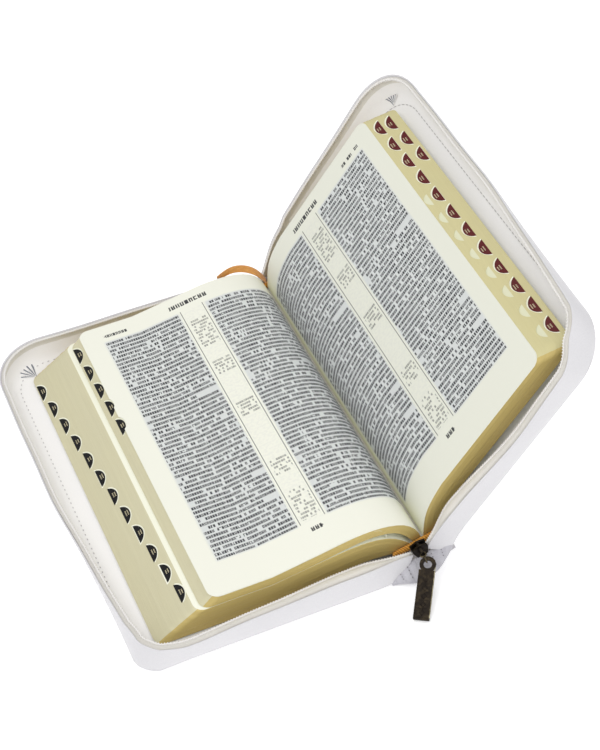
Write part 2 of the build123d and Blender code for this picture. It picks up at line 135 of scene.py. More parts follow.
BOOK_MIDDLE = (0.03, 0, 0.03)
area_light("key", (-0.55, -0.25, 1.25), BOOK_MIDDLE, 0.8, 4.4)
area_light("fill", (0.75, -0.95, 0.9), (0.05, 0, 0.05), 1.1, 2.6)
area_light("top", (0.1, 0.5, 1.3), BOOK_MIDDLE, 0.9, 2.0)
area_light("front", (-0.35, -1.1, 0.6), BOOK_MIDDLE, 0.9, 1.1)
world = bpy.data.worlds.new("studio")
world.use_nodes = True
world.node_tree.nodes["Background"].inputs["Color"].default_value = (1, 1, 1, 1)
world.node_tree.nodes["Background"].inputs["Strength"].default_value = 0.68
bpy.context.scene.world = world


# ---- materials
class Paint:
    """A procedural material, with short calls for the nodes that it is made of."""

    def __init__(self, name, colour, roughness=0.5, metallic=0.0, **sockets):
        self.material = bpy.data.materials.new(name)
        self.material.use_nodes = True
        self.tree = self.material.node_tree
        self.shader = self.tree.nodes["Principled BSDF"]
        self.put("Base Color", colour)
        self.put("Roughness", roughness)
        self.put("Metallic", metallic)
        for key, value in sockets.items():
            self.put(key.replace("_", " "), value)

    def put(self, socket, value, node=None):
        target = (node or self.shader).inputs[socket]
        if isinstance(value, bpy.types.NodeSocket):
            self.tree.links.new(value, target)
        elif isinstance(value, tuple) and len(value) == 3 and target.type == "RGBA":
            target.default_value = (*value, 1.0)
        else:
            target.default_value = value

    def make(self, kind, output=0, **inputs):
        node = self.tree.nodes.new("ShaderNode" + kind)
        for key, value in inputs.items():
            if hasattr(node, key):
                setattr(node, key, value)
            else:
                self.put(key.replace("_", " "), value, node)
        return node.outputs[output]

    def math(self, operation, a, b=None, c=None):
        node = self.tree.nodes.new("ShaderNodeMath")
        node.operation = operation
        for slot, value in enumerate((a, b, c)):
            if value is not None:
                self.put(slot, value, node)
        return node.outputs[0]

    def times(self, a, b):
        return self.math("MULTIPLY", a, b)

    def plus(self, a, b):
        return self.math("ADD", a, b)

    def split(self, vector):
        node = self.tree.nodes.new("ShaderNodeSeparateXYZ")
        self.tree.links.new(vector, node.inputs[0])
        return node.outputs

    def join(self, x, y, z=0.0):
        node = self.tree.nodes.new("ShaderNodeCombineXYZ")
        for slot, value in enumerate((x, y, z)):
            self.put(slot, value, node)
        return node.outputs[0]

    def place(self):
        return self.make("TexCoord", "Object")

    def uv(self):
        return self.make("UVMap", 0, uv_map="mm")

    def stretched(self, vector, x, y, z):
        node = self.tree.nodes.new("ShaderNodeMapping")
        self.tree.links.new(vector, node.inputs["Vector"])
        node.inputs["Scale"].default_value = (x, y, z)
        return node.outputs[0]

    def noise(self, vector, scale, detail=2.0, roughness=0.5):
        return self.make("TexNoise", 0, Vector=vector, Scale=scale, Detail=detail, Roughness=roughness)

    def cells(self, vector, scale, feature="F1"):
        return self.make("TexVoronoi", 0, feature=feature, Vector=vector, Scale=scale)

    def band(self, value, low, high, soft=0.02):
        """1 where value is between low and high."""
        rise = self.make("MapRange", 0, Value=value, From_Min=low - soft, From_Max=low + soft)
        fall = self.make("MapRange", 0, Value=value, From_Min=high + soft, From_Max=high - soft)
        return self.times(rise, fall)

    def blend(self, amount, a, b):
        node = self.tree.nodes.new("ShaderNodeMix")
        node.data_type = "RGBA"
        self.put(0, amount, node)
        self.put(6, a, node)
        self.put(7, b, node)
        return node.outputs[2]

    def tint(self, amount, a, b):
        self.put("Base Color", self.blend(amount, a, b))

    def uneven_gloss(self, value, low, high):
        self.put("Roughness", self.make("MapRange", 0, Value=value, To_Min=low, To_Max=high))

    def relief(self, height, depth_mm, strength=1.0):
        node = self.tree.nodes.new("ShaderNodeBump")
        node.inputs["Strength"].default_value = strength
        node.inputs["Distance"].default_value = depth_mm * MM
        self.tree.links.new(height, node.inputs["Height"])
        self.tree.links.new(node.outputs[0], self.shader.inputs["Normal"])


def leather(name, light, dark, grain, depth, roughness):
    p = Paint(name, light, roughness, Specular_IOR_Level=0.4, Sheen_Weight=0.15, Sheen_Roughness=0.5)
    place = p.place()
    cells = p.cells(place, grain, "SMOOTH_F1")
    fine = p.noise(place, grain * 2.1, 3.0, 0.6)
    broad = p.noise(place, 28.0, 2.0)
    height = p.plus(p.times(cells, 0.8), p.times(fine, 0.6))
    p.tint(p.times(p.plus(broad, cells), 0.55), light, dark)
    p.uneven_gloss(fine, roughness - 0.08, roughness + 0.14)
    p.relief(height, depth, 0.7)
    return p.material


def woven(name, light, dark, threads, depth):
    """A plain weave: two sets of threads, one over one, in the piece's own UV millimetres."""
    p = Paint(name, light, 0.75, Sheen_Weight=0.3, Sheen_Roughness=0.4)
    x, y, _ = p.split(p.uv())
    warp = p.math("SINE", p.times(x, threads))
    weft = p.math("SINE", p.times(y, threads))
    over = p.times(warp, weft)
    cloudy = p.noise(p.place(), 90.0, 3.0)
    tone = p.plus(p.times(over, 0.28), p.times(cloudy, 0.8))
    p.tint(tone, dark, light)
    p.relief(over, depth, 0.8)
    return p.material


def leaf_edges(name, pale, deep, warm, gloss):
    """Gilt leaf edges: streaks that run along the leaves, in UV millimetres."""
    p = Paint(name, pale, gloss, 0.18, Specular_IOR_Level=0.45)
    uv = p.uv()
    fine = p.noise(p.stretched(uv, 0.035, 9.0, 1.0), 1.0, 4.0, 0.7)
    coarse = p.noise(p.stretched(uv, 0.012, 1.3, 1.0), 1.0, 2.0)
    patch = p.noise(p.stretched(uv, 0.03, 0.12, 1.0), 1.0, 2.0)
    streak = p.math("MULTIPLY_ADD", p.math("SUBTRACT", fine, 0.5), 1.5, 0.5)
    tone = p.plus(p.times(streak, 0.65), p.times(coarse, 0.35))
    p.tint(p.times(patch, 0.6), p.blend(tone, deep, pale), warm)
    p.uneven_gloss(fine, gloss - 0.12, gloss + 0.15)
    p.relief(p.plus(fine, p.times(coarse, 0.7)), 0.09, 0.6)
    return p.material


PAPER = (0.925, 0.925, 0.80)
PAPER_WARM = (0.86, 0.85, 0.58)
INK = (0.008, 0.009, 0.016)


def plain_paper(name, light, warm):
    p = Paint(name, light, 0.62, Specular_IOR_Level=0.3)
    fibres = p.noise(p.place(), 900.0, 4.0, 0.7)
    broad = p.noise(p.place(), 18.0, 1.0)
    p.tint(p.times(broad, 0.4), light, warm)
    p.relief(fibres, 0.02, 0.4)
    return p.material


def type_rows(p, q, y, first, last, top, bottom, pitch, cell, spaces, paragraphs):
    """Rows of made-up strokes that stand for lines of type. They are no alphabet's letters."""
    from_top = p.math("DIVIDE", p.math("SUBTRACT", top, y), pitch)
    row = p.math("FLOOR", from_top)
    down = p.math("FRACT", from_top)
    across = p.math("DIVIDE", p.plus(q, p.times(row, 0.371)), cell)
    letter = p.math("FLOOR", across)
    along = p.math("FRACT", across)

    def chance(seed, x=letter):
        return p.make("TexWhiteNoise", 0, noise_dimensions="3D", Vector=p.join(x, row, seed))

    def stroke(value, centre, half, seed, odds):
        off = p.math("ABSOLUTE", p.math("SUBTRACT", value, centre))
        mark = p.make("MapRange", 0, Value=off, From_Min=half + 0.05, From_Max=half - 0.05)
        return p.times(mark, p.math("LESS_THAN", chance(seed), odds))

    strokes = stroke(along, 0.24, 0.15, 1.0, 0.95)
    for centre, seed, odds in ((0.72, 2.0, 0.85), (0.48, 3.0, 0.35)):
        strokes = p.math("MAXIMUM", strokes, stroke(along, centre, 0.14, seed, odds))
    wide = p.band(along, 0.10, 0.86, 0.04)
    for centre, seed, odds in ((0.25, 4.0, 0.55), (0.48, 5.0, 0.55), (0.71, 6.0, 0.5)):
        level = p.times(stroke(down, centre, 0.085, seed, odds), wide)
        strokes = p.math("MAXIMUM", strokes, level)
    body = p.band(down, 0.17, 0.79, 0.03)
    printed = p.times(strokes, body)
    printed = p.times(printed, p.math("GREATER_THAN", chance(7.0), spaces))
    if paragraphs:
        opens = p.math("LESS_THAN", chance(8.0, 0.0), paragraphs)
        next_row = p.join(0.0, p.plus(row, 1.0), 8.0)
        after = p.make("TexWhiteNoise", 0, noise_dimensions="3D", Vector=next_row)
        closes = p.math("LESS_THAN", after, paragraphs)
        start = p.math("MULTIPLY_ADD", opens, 3.2, first)
        cut = p.times(closes, p.times(chance(9.0, 0.0), 30.0))
        stop = p.math("SUBTRACT", last, cut)
        printed = p.times(printed, p.math("GREATER_THAN", q, start))
        printed = p.times(printed, p.math("LESS_THAN", q, stop))
    else:
        printed = p.times(printed, p.band(q, first, last))
    return p.times(printed, p.band(y, bottom, top))


TEXT_TOP, TEXT_FOOT = 88.6, -81.4
NOTE_GAPS, NOTE_GREY = 0.52, 0.7
UV_WIDTH = 125.0          # the printed sheet's u runs over this many millimetres
PRINT_W = 112.0           # from the left page's fore-edge to the gutter


def printed_page(name, chapter, paper, gutter_first):
    """Two columns with a narrow reference column between two rules, a heading and a folio."""
    p = Paint(name, paper, 0.55, Specular_IOR_Level=0.3)
    u, v, _ = p.split(p.uv())
    q = p.times(u, UV_WIDTH)
    y = p.math("MULTIPLY_ADD", v, PAGE_H, -HALF_H)
    ink = None
    # from, to, top, bottom, row pitch, letter width, share of spaces, share of new paragraphs
    for zone in (
        (4.5, 47.6, TEXT_TOP, TEXT_FOOT, 3.0, 1.3, 0.09, 0.13),
        (64.4, 107.6, TEXT_TOP, TEXT_FOOT, 3.0, 1.3, 0.09, 0.11),
        (44.5, 67.5, 97.4, 92.4, 5.0, 2.7, 0.0, 0.0),
        (*chapter, 95.2, 91.7, 3.5, 1.7, 0.1, 0.0),
        (52.8, 59.7, -84.6, -88.8, 4.2, 2.3, 0.0, 0.0),
    ):
        rows = type_rows(p, q, y, *zone)
        ink = rows if ink is None else p.math("MAXIMUM", ink, rows)
    notes = type_rows(p, q, y, 51.3, 61.4, 80.0, TEXT_FOOT + 2, 2.3, 1.15, 0.3, 0.0)
    row_band = p.math("FLOOR", p.math("DIVIDE", y, 11.5))
    some = p.make("TexWhiteNoise", 0, noise_dimensions="2D", Vector=p.join(row_band, 4.0))
    notes = p.times(p.times(notes, p.math("GREATER_THAN", some, NOTE_GAPS)), NOTE_GREY)
    ink = p.math("MAXIMUM", ink, notes)
    for rule in (49.4, 62.7):
        line = p.band(q, rule - 0.16, rule + 0.16, 0.08)
        ink = p.math("MAXIMUM", ink, p.times(line, p.band(y, TEXT_FOOT, TEXT_TOP + 1)))
    # the print on the leaf's other side shows through faintly
    ghost = p.noise(p.stretched(p.uv(), 70.0, 150.0, 1.0), 1.0, 2.0)
    ghost = p.times(p.band(ghost, 0.52, 0.9, 0.06), p.band(q, 5.0, 107.0, 1.0))
    ghost = p.times(ghost, p.times(p.band(y, TEXT_FOOT, TEXT_TOP, 1.0), 0.10))
    speck = p.noise(p.stretched(p.uv(), 900.0, 1500.0, 1.0), 1.0, 2.0)
    density = p.make("MapRange", 0, Value=speck, From_Min=0.2, From_Max=0.55, To_Min=0.86, To_Max=1.0)
    edges = (0.0, 16.0) if gutter_first else (PRINT_W - 16.0, PRINT_W)
    warm = p.make("MapRange", 0, Value=q, From_Min=edges[0], From_Max=edges[1])
    warm = p.math("SUBTRACT", 1.0, warm) if gutter_first else warm
    sheet = p.blend(p.times(p.math("POWER", warm, 2.2), 0.55), paper, PAPER_WARM)
    sheet = p.blend(ghost, sheet, (0.45, 0.46, 0.52))
    # the small type greys the paper round it
    columns_area = p.math("MAXIMUM", p.band(q, 4.0, 48.0, 0.8), p.band(q, 64.0, 108.0, 0.8))
    haze = p.times(columns_area, p.band(y, TEXT_FOOT - 0.5, TEXT_TOP + 0.5, 0.8))
    sheet = p.blend(p.times(haze, 0.6), sheet, (0.58, 0.61, 0.655))
    p.tint(p.times(ink, density), sheet, INK)
    fibres = p.noise(p.place(), 900.0, 4.0, 0.7)
    cockle = p.noise(p.place(), 35.0, 1.0)
    p.relief(p.plus(p.times(fibres, 0.04), cockle), 0.35, 0.35)
    return p.material


def bronze(name, dark, bright, roughness=0.42):
    p = Paint(name, dark, roughness, 0.85)
    place = p.place()
    cloudy = p.noise(place, 420.0, 5.0, 0.65)
    scratch = p.noise(p.stretched(place, 300.0, 1400.0, 900.0), 1.0, 3.0)
    worn = p.make("MapRange", 0, Value=cloudy, From_Min=0.46, From_Max=0.72)
    p.tint(worn, dark, bright)
    p.uneven_gloss(scratch, 0.28, 0.62)
    p.relief(p.plus(cloudy, p.times(scratch, 0.3)), 0.06, 0.6)
    return p.material


def striped(name, light, dark, gap_mm):
    """Slanting threads wound round a band, in UV millimetres."""
    p = Paint(name, light, 0.5, Sheen_Weight=0.5, Sheen_Roughness=0.3)
    x, y, _ = p.split(p.uv())
    phase = p.times(p.plus(x, p.times(y, 0.55)), 2 * math.pi / gap_mm)
    wave = p.math("MULTIPLY_ADD", p.math("SINE", phase), 0.5, 0.5)
    threads = p.math("SINE", p.times(phase, 5.0))
    worn = p.noise(p.place(), 500.0, 3.0)
    p.tint(p.times(p.plus(wave, worn), 0.62), dark, light)
    p.relief(p.plus(wave, p.times(threads, 0.25)), 0.12, 0.8)
    return p.material


def label(name, colour, sheen):
    p = Paint(name, colour, 0.45, Specular_IOR_Level=0.22, Coat_Weight=0.05)
    cloudy = p.noise(p.place(), 700.0, 3.0)
    p.tint(p.times(cloudy, 0.5), colour, sheen)
    p.relief(p.noise(p.place(), 2500.0, 2.0), 0.01, 0.5)
    return p.material


WHITE_LEATHER = leather("white_leather", (0.735, 0.727, 0.745), (0.65, 0.64, 0.665), 1500.0, 0.07, 0.42)
LINING = leather("lining_leather", (0.945, 0.93, 0.92), (0.88, 0.865, 0.85), 2600.0, 0.03, 0.5)
TAPE = woven("zip_tape_weave", (0.86, 0.83, 0.77), (0.74, 0.71, 0.65), 9.0, 0.08)
WEBBING = woven("webbing_weave", (0.72, 0.71, 0.75), (0.52, 0.51, 0.56), 7.0, 0.12)
MULL = woven("mull_weave", (0.80, 0.77, 0.70), (0.66, 0.63, 0.56), 4.0, 0.15)
PAGE = plain_paper("page_paper", PAPER, PAPER_WARM)
# page paper painted darker and yellower as shade, for the walls of the unlabelled thumb cuts in the back pile
SHADED_NOTCH_PAPER = plain_paper("notch_paper_painted_shade", (0.74, 0.74, 0.55), (0.66, 0.65, 0.40))
LEFT_PRINT = printed_page("left_print", (4.8, 20.2), (0.87, 0.87, 0.765), False)
# the right page's paper is painted darker as shade, since that page tilts away from the light
SHADED_RIGHT_PRINT = printed_page("right_print_painted_shade", (91.5, 107.4), (0.76, 0.765, 0.67), True)
FORE_GILT = leaf_edges("fore_edge_gilt", (0.78, 0.745, 0.54), (0.54, 0.50, 0.32), (0.70, 0.66, 0.43), 0.5)
# a darker copy of the gilt, painted with shade, for the leaves' tail and head edges
SHADED_TAIL_GILT = leaf_edges("tail_edge_gilt_painted_shade", (0.76, 0.61, 0.24), (0.38, 0.28, 0.085), (0.64, 0.50, 0.17), 0.42)
BACK_GILT = leaf_edges("back_fore_gilt", (0.70, 0.655, 0.38), (0.54, 0.49, 0.25), (0.68, 0.61, 0.31), 0.5)
BRONZE = bronze("antique_bronze", (0.020, 0.015, 0.011), (0.06, 0.045, 0.026))
BRONZE_LIGHT = bronze("worn_bronze", (0.075, 0.06, 0.035), (0.26, 0.21, 0.12), 0.38)
# a bright copy of the bronze: painted highlight for the rail along the pull's edge
BRONZE_HIGHLIGHT = bronze("highlight_bronze", (0.22, 0.19, 0.11), (0.62, 0.56, 0.38), 0.3)
BRONZE_DARK = bronze("dark_bronze", (0.016, 0.012, 0.009), (0.05, 0.038, 0.024), 0.45)
HEADBAND = striped("headband_silk", (0.95, 0.47, 0.06), (0.30, 0.075, 0.006), 1.25)
GOLD = label("gold_foil", (0.62, 0.54, 0.33), (0.80, 0.74, 0.55))
BLACK_LABEL = label("index_black_label", (0.003, 0.003, 0.004), (0.010, 0.010, 0.012))
RED_LABEL = label("index_red_label", (0.085, 0.006, 0.008), (0.15, 0.015, 0.015))
THREAD = striped("sewing_thread", (0.66, 0.64, 0.63), (0.40, 0.38, 0.38), 0.5)
DARK_THREAD = striped("dark_thread", (0.10, 0.08, 0.10), (0.04, 0.03, 0.04), 0.5)
PLEAT_SHADE = leather("pleat_shade", (0.24, 0.26, 0.30), (0.14, 0.15, 0.18), 1500.0, 0.03, 0.6)
COIL = label("nylon_coil", (0.84, 0.82, 0.80), (0.90, 0.88, 0.86))
BOARD = leather("grey_board", (0.50, 0.45, 0.37), (0.38, 0.34, 0.28), 900.0, 0.05, 0.85)


def satin():
    p = Paint("ribbon_satin", (0.86, 0.36, 0.05), 0.3, Sheen_Weight=0.4, Anisotropic=0.6)
    y = p.split(p.uv())[1]
    threads = p.math("SINE", p.times(y, 60.0))
    # painted light and shade: noise along the ribbon stands in for the satin's sheen and the shade of its
    # folds
    folds = p.noise(p.stretched(p.uv(), 0.3, 1.0, 1.0), 1.0, 2.0)
    p.tint(folds, (0.95, 0.50, 0.13), (0.62, 0.20, 0.02))
    p.relief(threads, 0.03, 0.5)
    return p.material


SATIN = satin()


def floor_paint():
    p = Paint("floor_paint", (0.95, 0.95, 0.95), 0.7, Specular_IOR_Level=0.1, Emission_Strength=0.3)
    p.put("Emission Color", (1.0, 1.0, 1.0))
    p.relief(p.noise(p.place(), 60.0, 2.0), 0.05, 0.1)
    return p.material


bpy.ops.mesh.primitive_plane_add(size=12, location=(0, 0, cad_box[0][2] - 0.0002))
floor = bpy.context.object
floor.name = "floor"
floor.data.materials.append(floor_paint())


# ---- mesh tools
def build(name, points, faces, materials, face_material=None, uvs=None, sharp=35.0):
    """A mesh object from points, faces and, if given, UVs in millimetres by point."""
    mesh = bpy.data.meshes.new(name)
    mesh.from_pydata([tuple(p) for p in points], [], faces)
    for m in materials:
        mesh.materials.append(m)
    if face_material is not None:
        mesh.polygons.foreach_set("material_index", face_material)
    layer = mesh.uv_layers.new(name="mm")
    if uvs is not None:
        index = np.empty(len(mesh.loops), int)
        mesh.loops.foreach_get("vertex_index", index)
        layer.data.foreach_set("uv", np.asarray(uvs, float)[index].ravel())
    obj = bpy.data.objects.new(name, mesh)
    bpy.context.scene.collection.objects.link(obj)
    tidy_mesh(obj, sharp)
    return obj


def tidy_mesh(obj, sharp=35.0):
    """Welds the mesh, points its faces outwards and keeps its hard edges hard."""
    work = bmesh.new()
    work.from_mesh(obj.data)
    bmesh.ops.remove_doubles(work, verts=work.verts, dist=2e-6)
    bmesh.ops.dissolve_degenerate(work, edges=work.edges, dist=1e-6)
    bmesh.ops.recalc_face_normals(work, faces=work.faces)
    for face in work.faces:
        face.smooth = True
    for edge in work.edges:
        edge.smooth = not (edge.is_manifold and edge.calc_face_angle(0) > math.radians(sharp))
    work.to_mesh(obj.data)
    work.free()


def joined(name, pieces):
    """One object from several, in order."""
    bpy.ops.object.select_all(action="DESELECT")
    for p in pieces:
        p.select_set(True)
    bpy.context.view_layer.objects.active = pieces[0]
    bpy.ops.object.join()
    result = bpy.context.view_layer.objects.active
    result.name = name
    return result


def renumbered(faces, base):
    """The same faces, with their point numbers raised by base."""
    return [tuple(base + k for k in face) for face in faces]


def sheet_faces(rows, size):
    """Faces of a two-sided sheet of rows of points, and the number of them before its rim."""
    layer = rows * size
    faces = []
    for i in range(rows - 1):
        for j in range(size - 1):
            a = i * size + j
            quad = (a, a + 1, a + 1 + size, a + size)
            faces.append(quad)
            faces.append(tuple(k + layer for k in reversed(quad)))
    sides = len(faces)
    rim = list(range(size - 1)) + [i * size + size - 1 for i in range(rows - 1)]
    rim += [(rows - 1) * size + j for j in range(size - 1, 0, -1)]
    rim += [i * size for i in range(rows - 1, 0, -1)]
    faces += [(a, b, b + layer, a + layer) for a, b in zip(rim, rim[1:] + rim[:1])]
    return faces, sides


def dress(obj, slot, body, *cad):
    """Hides the CAD nodes that a piece stands for and, if a body is given, attaches the piece to it. The slot
    argument is not used.
    """
    if cad:
        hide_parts(*cad)
    if body:
        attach(obj, body)
    return obj


def run_along(points):
    """How far along the line each of its points is."""
    return np.r_[0, np.cumsum(np.linalg.norm(np.diff(points, axis=0), axis=1))]


def resampled(values, at_run, run):
    """The values, known at each run, read off at other runs."""
    return np.stack([np.interp(at_run, run, values[:, k]) for k in range(values.shape[1])], axis=1)


def spline(knots, count):
    """count points, evenly spaced, on a natural cubic spline through the knots."""
    knots = np.asarray(knots, float)
    t = run_along(knots)
    n = len(t)
    h = np.diff(t)
    system = np.eye(n)
    right = np.zeros_like(knots)
    for i in range(1, n - 1):
        system[i, i - 1 : i + 2] = h[i - 1], 2 * (h[i - 1] + h[i]), h[i]
        right[i] = 6 * ((knots[i + 1] - knots[i]) / h[i] - (knots[i] - knots[i - 1]) / h[i - 1])
    bend = np.linalg.solve(system, right)

    def point(x):
        i = np.clip(np.searchsorted(t, x) - 1, 0, n - 2)
        a, b = (t[i + 1] - x)[:, None], (x - t[i])[:, None]
        step = h[i][:, None]
        value = (bend[i] * a**3 + bend[i + 1] * b**3) / (6 * step)
        value += (knots[i] / step - bend[i] * step / 6) * a
        return value + (knots[i + 1] / step - bend[i + 1] * step / 6) * b

    fine = point(np.linspace(0, t[-1], 600))
    length = run_along(fine)
    return resampled(fine, np.linspace(0, length[-1], count), length)


def ring_faces(rings, size):
    """Faces between rings of points, each ring closed on itself, with both ends closed."""
    faces = []
    for r in range(rings - 1):
        for k in range(size):
            a, b = r * size + k, r * size + (k + 1) % size
            faces.append((a, b, b + size, a + size))
    faces.append(tuple(range(size - 1, -1, -1)))
    faces.append(tuple((rings - 1) * size + k for k in range(size)))
    return faces


# ---- leaves
ROOT_STEPS = 22
FLAT_STEPS = 5
CORNER_STEPS = 9
EDGE_STEPS = 36


def columns(root, flat_start, flat_end):
    """Section points from the gutter to the fore-edge, closing up on it as a rounded corner does."""
    curve = spline(root, ROOT_STEPS)
    start, end = np.array(flat_start, float), np.array(flat_end, float)
    length = np.linalg.norm(end - start)
    inner = (length - CORNER_R) / length
    flat = [start + (end - start) * inner * k / FLAT_STEPS for k in range(1, FLAT_STEPS + 1)]
    turns = [math.sin(math.pi / 2 * k / CORNER_STEPS) for k in range(1, CORNER_STEPS + 1)]
    corner = [start + (end - start) * (inner + (1 - inner) * k) for k in turns]
    return np.vstack([curve, flat, corner])


COLUMN_COUNT = ROOT_STEPS + FLAT_STEPS + CORNER_STEPS


def half_heights():
    plain = [HALF_H] * (ROOT_STEPS + FLAT_STEPS)
    rounding = [math.cos(math.pi / 2 * k / CORNER_STEPS) for k in range(1, CORNER_STEPS + 1)]
    return np.array(plain + [HALF_H - CORNER_R + CORNER_R * c for c in rounding])


def leaf_pile(name, low, high, rows, seed, gilt):
    """A closed pile of leaves between two section curves, with slightly uneven edges."""
    rng = random.Random(seed)
    half = half_heights()
    edge_y = np.linspace(-(HALF_H - CORNER_R), HALF_H - CORNER_R, EDGE_STEPS + 1)[1:-1]
    points, uvs = [], []
    size = 2 * COLUMN_COUNT + len(edge_y)
    thickness = np.linalg.norm(high[-1] - low[-1])
    for r in range(rows + 1):
        t = r / rows
        section = low * (1 - t) + high * t
        uneven = 0.0 if r in (0, rows) else rng.uniform(-0.10, 0.10)
        drift = 0.0 if r in (0, rows) else rng.uniform(-0.12, 0.12)
        direction = section[-1] - section[-2]
        direction /= np.linalg.norm(direction) + 1e-9
        run = run_along(section)
        level = t * thickness
        shift = direction * drift
        ramp = np.r_[np.zeros(ROOT_STEPS), np.ones(COLUMN_COUNT - ROOT_STEPS)]
        moved = section + ramp[:, None] * shift
        for i in range(COLUMN_COUNT):
            points.append(at(moved[i, 0], -(half[i] + uneven), moved[i, 1]))
            uvs.append((run[i], level))
        for y in edge_y:
            points.append(at(moved[-1, 0], y, moved[-1, 1]))
            uvs.append((run[-1] + y + HALF_H, level))
        for i in range(COLUMN_COUNT - 1, -1, -1):
            points.append(at(moved[i, 0], half[i] + uneven, moved[i, 1]))
            uvs.append((run[-1] * 2 + PAGE_H - run[i], level))
    faces, kinds = [], []
    first_fore = COLUMN_COUNT - CORNER_STEPS // 2 - 1
    for r in range(rows):
        for k in range(size):
            a, b = r * size + k, r * size + (k + 1) % size
            faces.append((a, b, b + size, a + size))
            fore = first_fore <= k < size - first_fore - 1
            kinds.append(1 if fore else (2 if k < size - 1 else 0))
    for base in (0, rows * size):
        for i in range(COLUMN_COUNT - 2):
            faces.append((base + i, base + i + 1, base + size - 2 - i, base + size - 1 - i))
            kinds.append(0)
        faces.append(tuple(base + k for k in range(COLUMN_COUNT - 2, size - COLUMN_COUNT + 2)))
        kinds.append(0)
    return build(name, points, faces, [PAGE, gilt, SHADED_TAIL_GILT], kinds, uvs, 40.0)


NOTCH_R = 7.2
NOTCH_OUT = 2.4
NOTCH_LEAN = math.radians(30)
LABEL_MARGIN = 0.75
TAB_PITCH = 15.9


def steps(count, first_y, pitch, first_level, last_level):
    rise = (last_level - first_level) / (count - 1)
    return [(first_y - k * pitch, first_level + k * rise) for k in range(count)]


def notch_frame(edge, out, up):
    """Axes of a thumb cut: its floor leans back from the fore-edge, following the stepped leaves."""
    floor_out = out * math.cos(NOTCH_LEAN) - up * math.sin(NOTCH_LEAN)
    floor_up = up * math.cos(NOTCH_LEAN) + out * math.sin(NOTCH_LEAN)
    return lambda outward, along, rise: (
        edge + (floor_out * outward + Vector((0, 1, 0)) * along + floor_up * rise) * MM
    )


def cut_notches(obj, frames, reach=9.0, radius=NOTCH_R, outside=NOTCH_OUT, paint=0):
    """Cuts a half-moon down to each labelled leaf."""
    points, faces = [], []
    sides = 40
    for spot in frames:
        base = len(points)
        for level in (0.0, reach):
            for k in range(sides):
                a = 2 * math.pi * k / sides
                points.append(spot(outside + radius * math.cos(a), radius * math.sin(a), level))
        faces += renumbered(ring_faces(2, sides), base)
    cutter = build("notch_cutter", points, faces, list(obj.data.materials), [paint] * len(faces))
    cut = obj.modifiers.new("notches", "BOOLEAN")
    cut.operation = "DIFFERENCE"
    cut.solver = "EXACT"
    cut.object = cutter
    result = bpy.data.meshes.new_from_object(obj.evaluated_get(bpy.context.evaluated_depsgraph_get()))
    obj.modifiers.clear()
    obj.data = result
    bpy.data.objects.remove(cutter)
    tidy_mesh(obj, 40.0)


LOWER_Z = (2.65, 17.3)
UPPER_Z = (17.6, 22.9)
LOWEST_LEAF_Z = 2.8
FRONT_FORE_X = (-141.9, -111.8)     # fore-edge of the lowest leaf and of the top one
SLAB_X = -80.0                      # the front leaves lie flat from here outwards


def front_edge(z):
    share = (z - LOWEST_LEAF_Z) / (UPPER_Z[1] - LOWEST_LEAF_Z)
    return FRONT_FORE_X[0] + share * (FRONT_FORE_X[1] - FRONT_FORE_X[0])


lower_low = columns(
    [(-16.2, 8.0), (-26, 9.2), (-50, 6.8), (SLAB_X, LOWER_Z[0])],
    (SLAB_X, LOWER_Z[0]), (front_edge(LOWER_Z[0]), LOWER_Z[0]),
)
lower_high = columns(
    [(-6.0, 11.0), (-16.8, 20.2), (-30, 23.3), (-49, 22.0), (SLAB_X, LOWER_Z[1])],
    (SLAB_X, LOWER_Z[1]), (front_edge(LOWER_Z[1]), LOWER_Z[1]),
)
STEP_BACK = 2.4                     # the upper pile's lowest leaf ends this far inside the one below


def upper_edge(z):
    """The upper pile stands back a little, so that the margin of the leaf below it shows."""
    return front_edge(z) + STEP_BACK * (UPPER_Z[1] - z) / (UPPER_Z[1] - UPPER_Z[0])


upper_low = columns(
    [(-4.6, 11.6), (-6.4, 14.6), (-13, 22.2), (-25.4, 25.6), (-49, 22.6), (SLAB_X, UPPER_Z[0])],
    (SLAB_X, UPPER_Z[0]), (upper_edge(UPPER_Z[0]), UPPER_Z[0]),
)
LEFT_TOP = [(-0.2, 12.8), (-1.7, 17.2), (-8.1, 25.6), (-16.3, 29.3), (-32.8, 30.6), (-49.2, 28.1)]
upper_high = columns(
    LEFT_TOP + [(SLAB_X, UPPER_Z[1])], (SLAB_X, UPPER_Z[1]), (front_edge(UPPER_Z[1]), UPPER_Z[1]),
)
lower_places = steps(12, HALF_H - 15.1, TAB_PITCH - 0.15, 3.0, LOWER_Z[1] - 2.5)
upper_places = steps(5, HALF_H - 11.6, TAB_PITCH, UPPER_Z[0] + 0.2, UPPER_Z[1] - 2.2)

BACK_N = (7.15, 19.6)
BACK_FIRST_N = 7.3
BACK_FORE_S = (120.7, 107.3)        # fore-edge of the last leaf and of the open one, up the back cover
BACK_S0 = 25.0                      # the back leaves lie flat from here outwards


def back_edge(n):
    share = (n - BACK_FIRST_N) / (BACK_N[1] - BACK_FIRST_N)
    return BACK_FORE_S[0] + share * (BACK_FORE_S[1] - BACK_FORE_S[0])


RIGHT_TOP = [(1.0, 13.2), (1.3, 20.1), (2.8, 30.1)]
back_low = columns(
    [(10.6, 15.8), (11.5, 22.3), (13.9, 30.5), back_xz(BACK_S0, BACK_N[0])],
    back_xz(BACK_S0, BACK_N[0]), back_xz(back_edge(BACK_N[0]), BACK_N[0]),
)
back_high = columns(
    RIGHT_TOP + [back_xz(BACK_S0, BACK_N[1])],
    back_xz(BACK_S0, BACK_N[1]), back_xz(back_edge(BACK_N[1]), BACK_N[1]),
)
row_places = steps(12, HALF_H - 12.2, TAB_PITCH + 0.15, BACK_N[1] - 4.5, BACK_FIRST_N + 1.6)
end_places = steps(3, HALF_H - 12, TAB_PITCH, BACK_FIRST_N + 3.2, BACK_FIRST_N + 1.0)
blank_places = [(y - 1.2, n + 4.4) for y, n in row_places[4:]]

